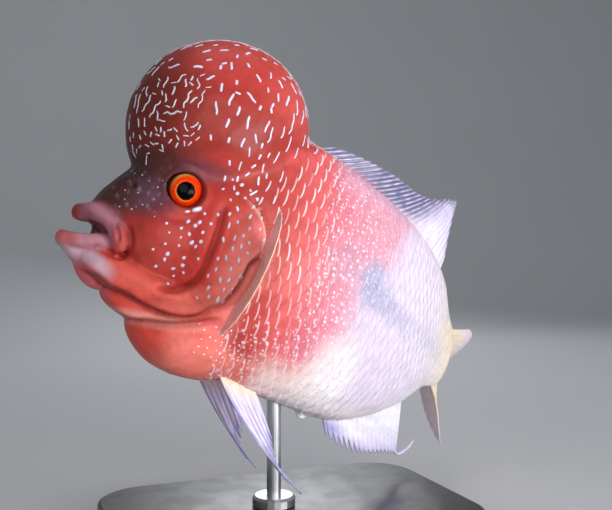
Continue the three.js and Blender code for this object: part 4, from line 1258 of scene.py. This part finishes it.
eyeMaterial, tree, shader = makeMaterial("glossyEye", rough=0.15, coat=0.03, bump=0.04, bumpSize=1200,
                                         shine=0.05)
shader.inputs["Coat Roughness"].default_value = 0.03
for side, name in ((1, "eye_left"), (-1, "eye_right")):
    rows, sides = ballForm["rows"], ballForm["sides"]
    points, colours = [], []
    for i in range(rows + 1):
        polar = pi * i / rows
        r, out = eyeForm["radii"][0] * sin(polar), eyeForm["radii"][2] * cos(polar)
        for j in range(sides):
            turn = 2 * pi * j / sides
            points.append((eyeForm["centre"][0] + r * cos(turn), -side * (eyeForm["centre"][2] + out),
                           eyeForm["centre"][1] + r * sin(turn)))
            colours.append(eyeTone(r, turn, polar > pi / 2))
    ball = makeObject("ball_" + name, points, gridFaces(rows + 1, sides))
    paint(ball, "paint", np.array(colours))
    setPoints(ball, place(points))
    turnOutward(ball, merge=1e-6)
    ball.data.materials.append(eyeMaterial)
    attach(ball, "root")
    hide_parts(name)

# The floor sweeps up behind the model into a wall, so that no edge shows.
sweep = {"front": -2.2, "flat": 0.7, "radius": 0.8, "top": 3.0, "half": 3.2, "arcSteps": 24,
         "dark": (0.5, 0.51, 0.53), "light": (0.55, 0.56, 0.58), "cloud": 3}
profile = [(sweep["front"], 0.0)]
for k in range(sweep["arcSteps"] + 1):
    bend = pi / 2 * k / sweep["arcSteps"]
    profile.append((sweep["flat"] + sweep["radius"] * sin(bend), sweep["radius"] * (1 - cos(bend))))
profile.append((sweep["flat"] + sweep["radius"], sweep["top"]))
floor = makeObject("floor", [(x, y, z) for y, z in profile for x in (-sweep["half"], sweep["half"])],
                   [(2 * k, 2 * k + 1, 2 * k + 3, 2 * k + 2) for k in range(len(profile) - 1)])
floorMaterial, tree, shader = makeMaterial("paleFloor", rough=0.75, coat=0, bump=0.05, bumpSize=300,
                                           painted=False)
cloud = addNode(tree, "TexNoise", {"Scale": sweep["cloud"], "Vector": objectSpot(tree)}).outputs["Fac"]
tree.links.new(mixNode(tree, cloud, sweep["dark"], sweep["light"]), shader.inputs["Base Color"])
floor.data.materials.append(floorMaterial)

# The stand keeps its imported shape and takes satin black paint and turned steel.
paintForm = {"dark": (0.012, 0.012, 0.013), "light": (0.028, 0.028, 0.03), "scale": 90.0}
baseMaterial, tree, shader = makeMaterial("satinBlack", rough=0.34, coat=0.25, bump=0.1, bumpSize=1400,
                                          painted=False)
cloud = addNode(tree, "TexNoise", {"Scale": paintForm["scale"], "Vector": objectSpot(tree)}).outputs["Fac"]
tree.links.new(mixNode(tree, cloud, paintForm["dark"], paintForm["light"]), shader.inputs["Base Color"])
tree.links.new(rampNode(tree, cloud, 0.3, 0.7, 0.28, 0.42), shader.inputs["Roughness"])
steelForm = {"dark": (0.42, 0.43, 0.45), "light": (0.66, 0.67, 0.69), "lines": 2600.0}
steelMaterial, tree, shader = makeMaterial("turnedSteel", rough=0.3, coat=0, bump=0, metal=1.0, painted=False)
turned = addNode(tree, "TexWave", {"Scale": steelForm["lines"], "Distortion": 1.5, "Detail": 3,
                                   "Vector": objectSpot(tree)}, bands_direction="Z").outputs["Fac"]
tree.links.new(mixNode(tree, turned, steelForm["dark"], steelForm["light"]), shader.inputs["Base Color"])
tree.links.new(rampNode(tree, turned, 0, 1, 0.22, 0.38), shader.inputs["Roughness"])
for node, made in (("stand_base", baseMaterial), ("stand_rod", steelMaterial)):
    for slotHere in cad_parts[node].material_slots:
        slotHere.material = made

# Light and camera.
middle = (0, 0, 0.11)
for name, spot, target, size, power, tint in (
        ("key", (-0.2, -1.0, 0.32), middle, 0.8, 4.5, (1, 0.98, 0.96)),
        ("fill", (0.8, -0.75, 0.25), middle, 0.8, 2.6, (0.96, 0.98, 1)),
        ("low", (0.25, -0.5, 0.02), (0.05, 0, 0.08), 0.35, 3.4, (1, 1, 1)),
        ("top", (0.1, 0.0, 0.95), middle, 0.7, 1.0, (1, 1, 1)),
        ("rim", (0.3, 0.8, 0.5), middle, 0.5, 2.2, (0.95, 0.97, 1))):
    lamp = bpy.data.lights.new(name, "AREA")
    lamp.shape = "DISK"
    lamp.size, lamp.energy, lamp.color = size, power, tint
    made = bpy.data.objects.new(name, lamp)
    bpy.context.collection.objects.link(made)
    made.location = spot
    made.rotation_euler = (Vector(target) - Vector(spot)).to_track_quat("-Z", "Y").to_euler()
world = bpy.data.worlds.new("studio")
bpy.context.scene.world = world
world.use_nodes = True
world.node_tree.nodes["Background"].inputs["Color"].default_value = (0.75, 0.78, 0.82, 1)
world.node_tree.nodes["Background"].inputs["Strength"].default_value = 0.35

bpy.context.scene.view_settings.view_transform = "Standard"
view = {"target": (0.008, 0, 0.113), "azimuth": -22.0, "distance": 0.34, "wide": 42.0}
lens = bpy.data.cameras.new("camera")
camera = bpy.data.objects.new("camera", lens)
bpy.context.collection.objects.link(camera)
turn = radians(view["azimuth"])
camera.location = Vector(view["target"]) + view["distance"] * Vector((sin(turn), -cos(turn), 0))
camera.rotation_euler = (Vector(view["target"]) - camera.location).to_track_quat("-Z", "Y").to_euler()
lens.sensor_width = 36
lens.lens = 18 / tan(radians(view["wide"] / 2))
lens.clip_start = 0.01
bpy.context.scene.camera = camera
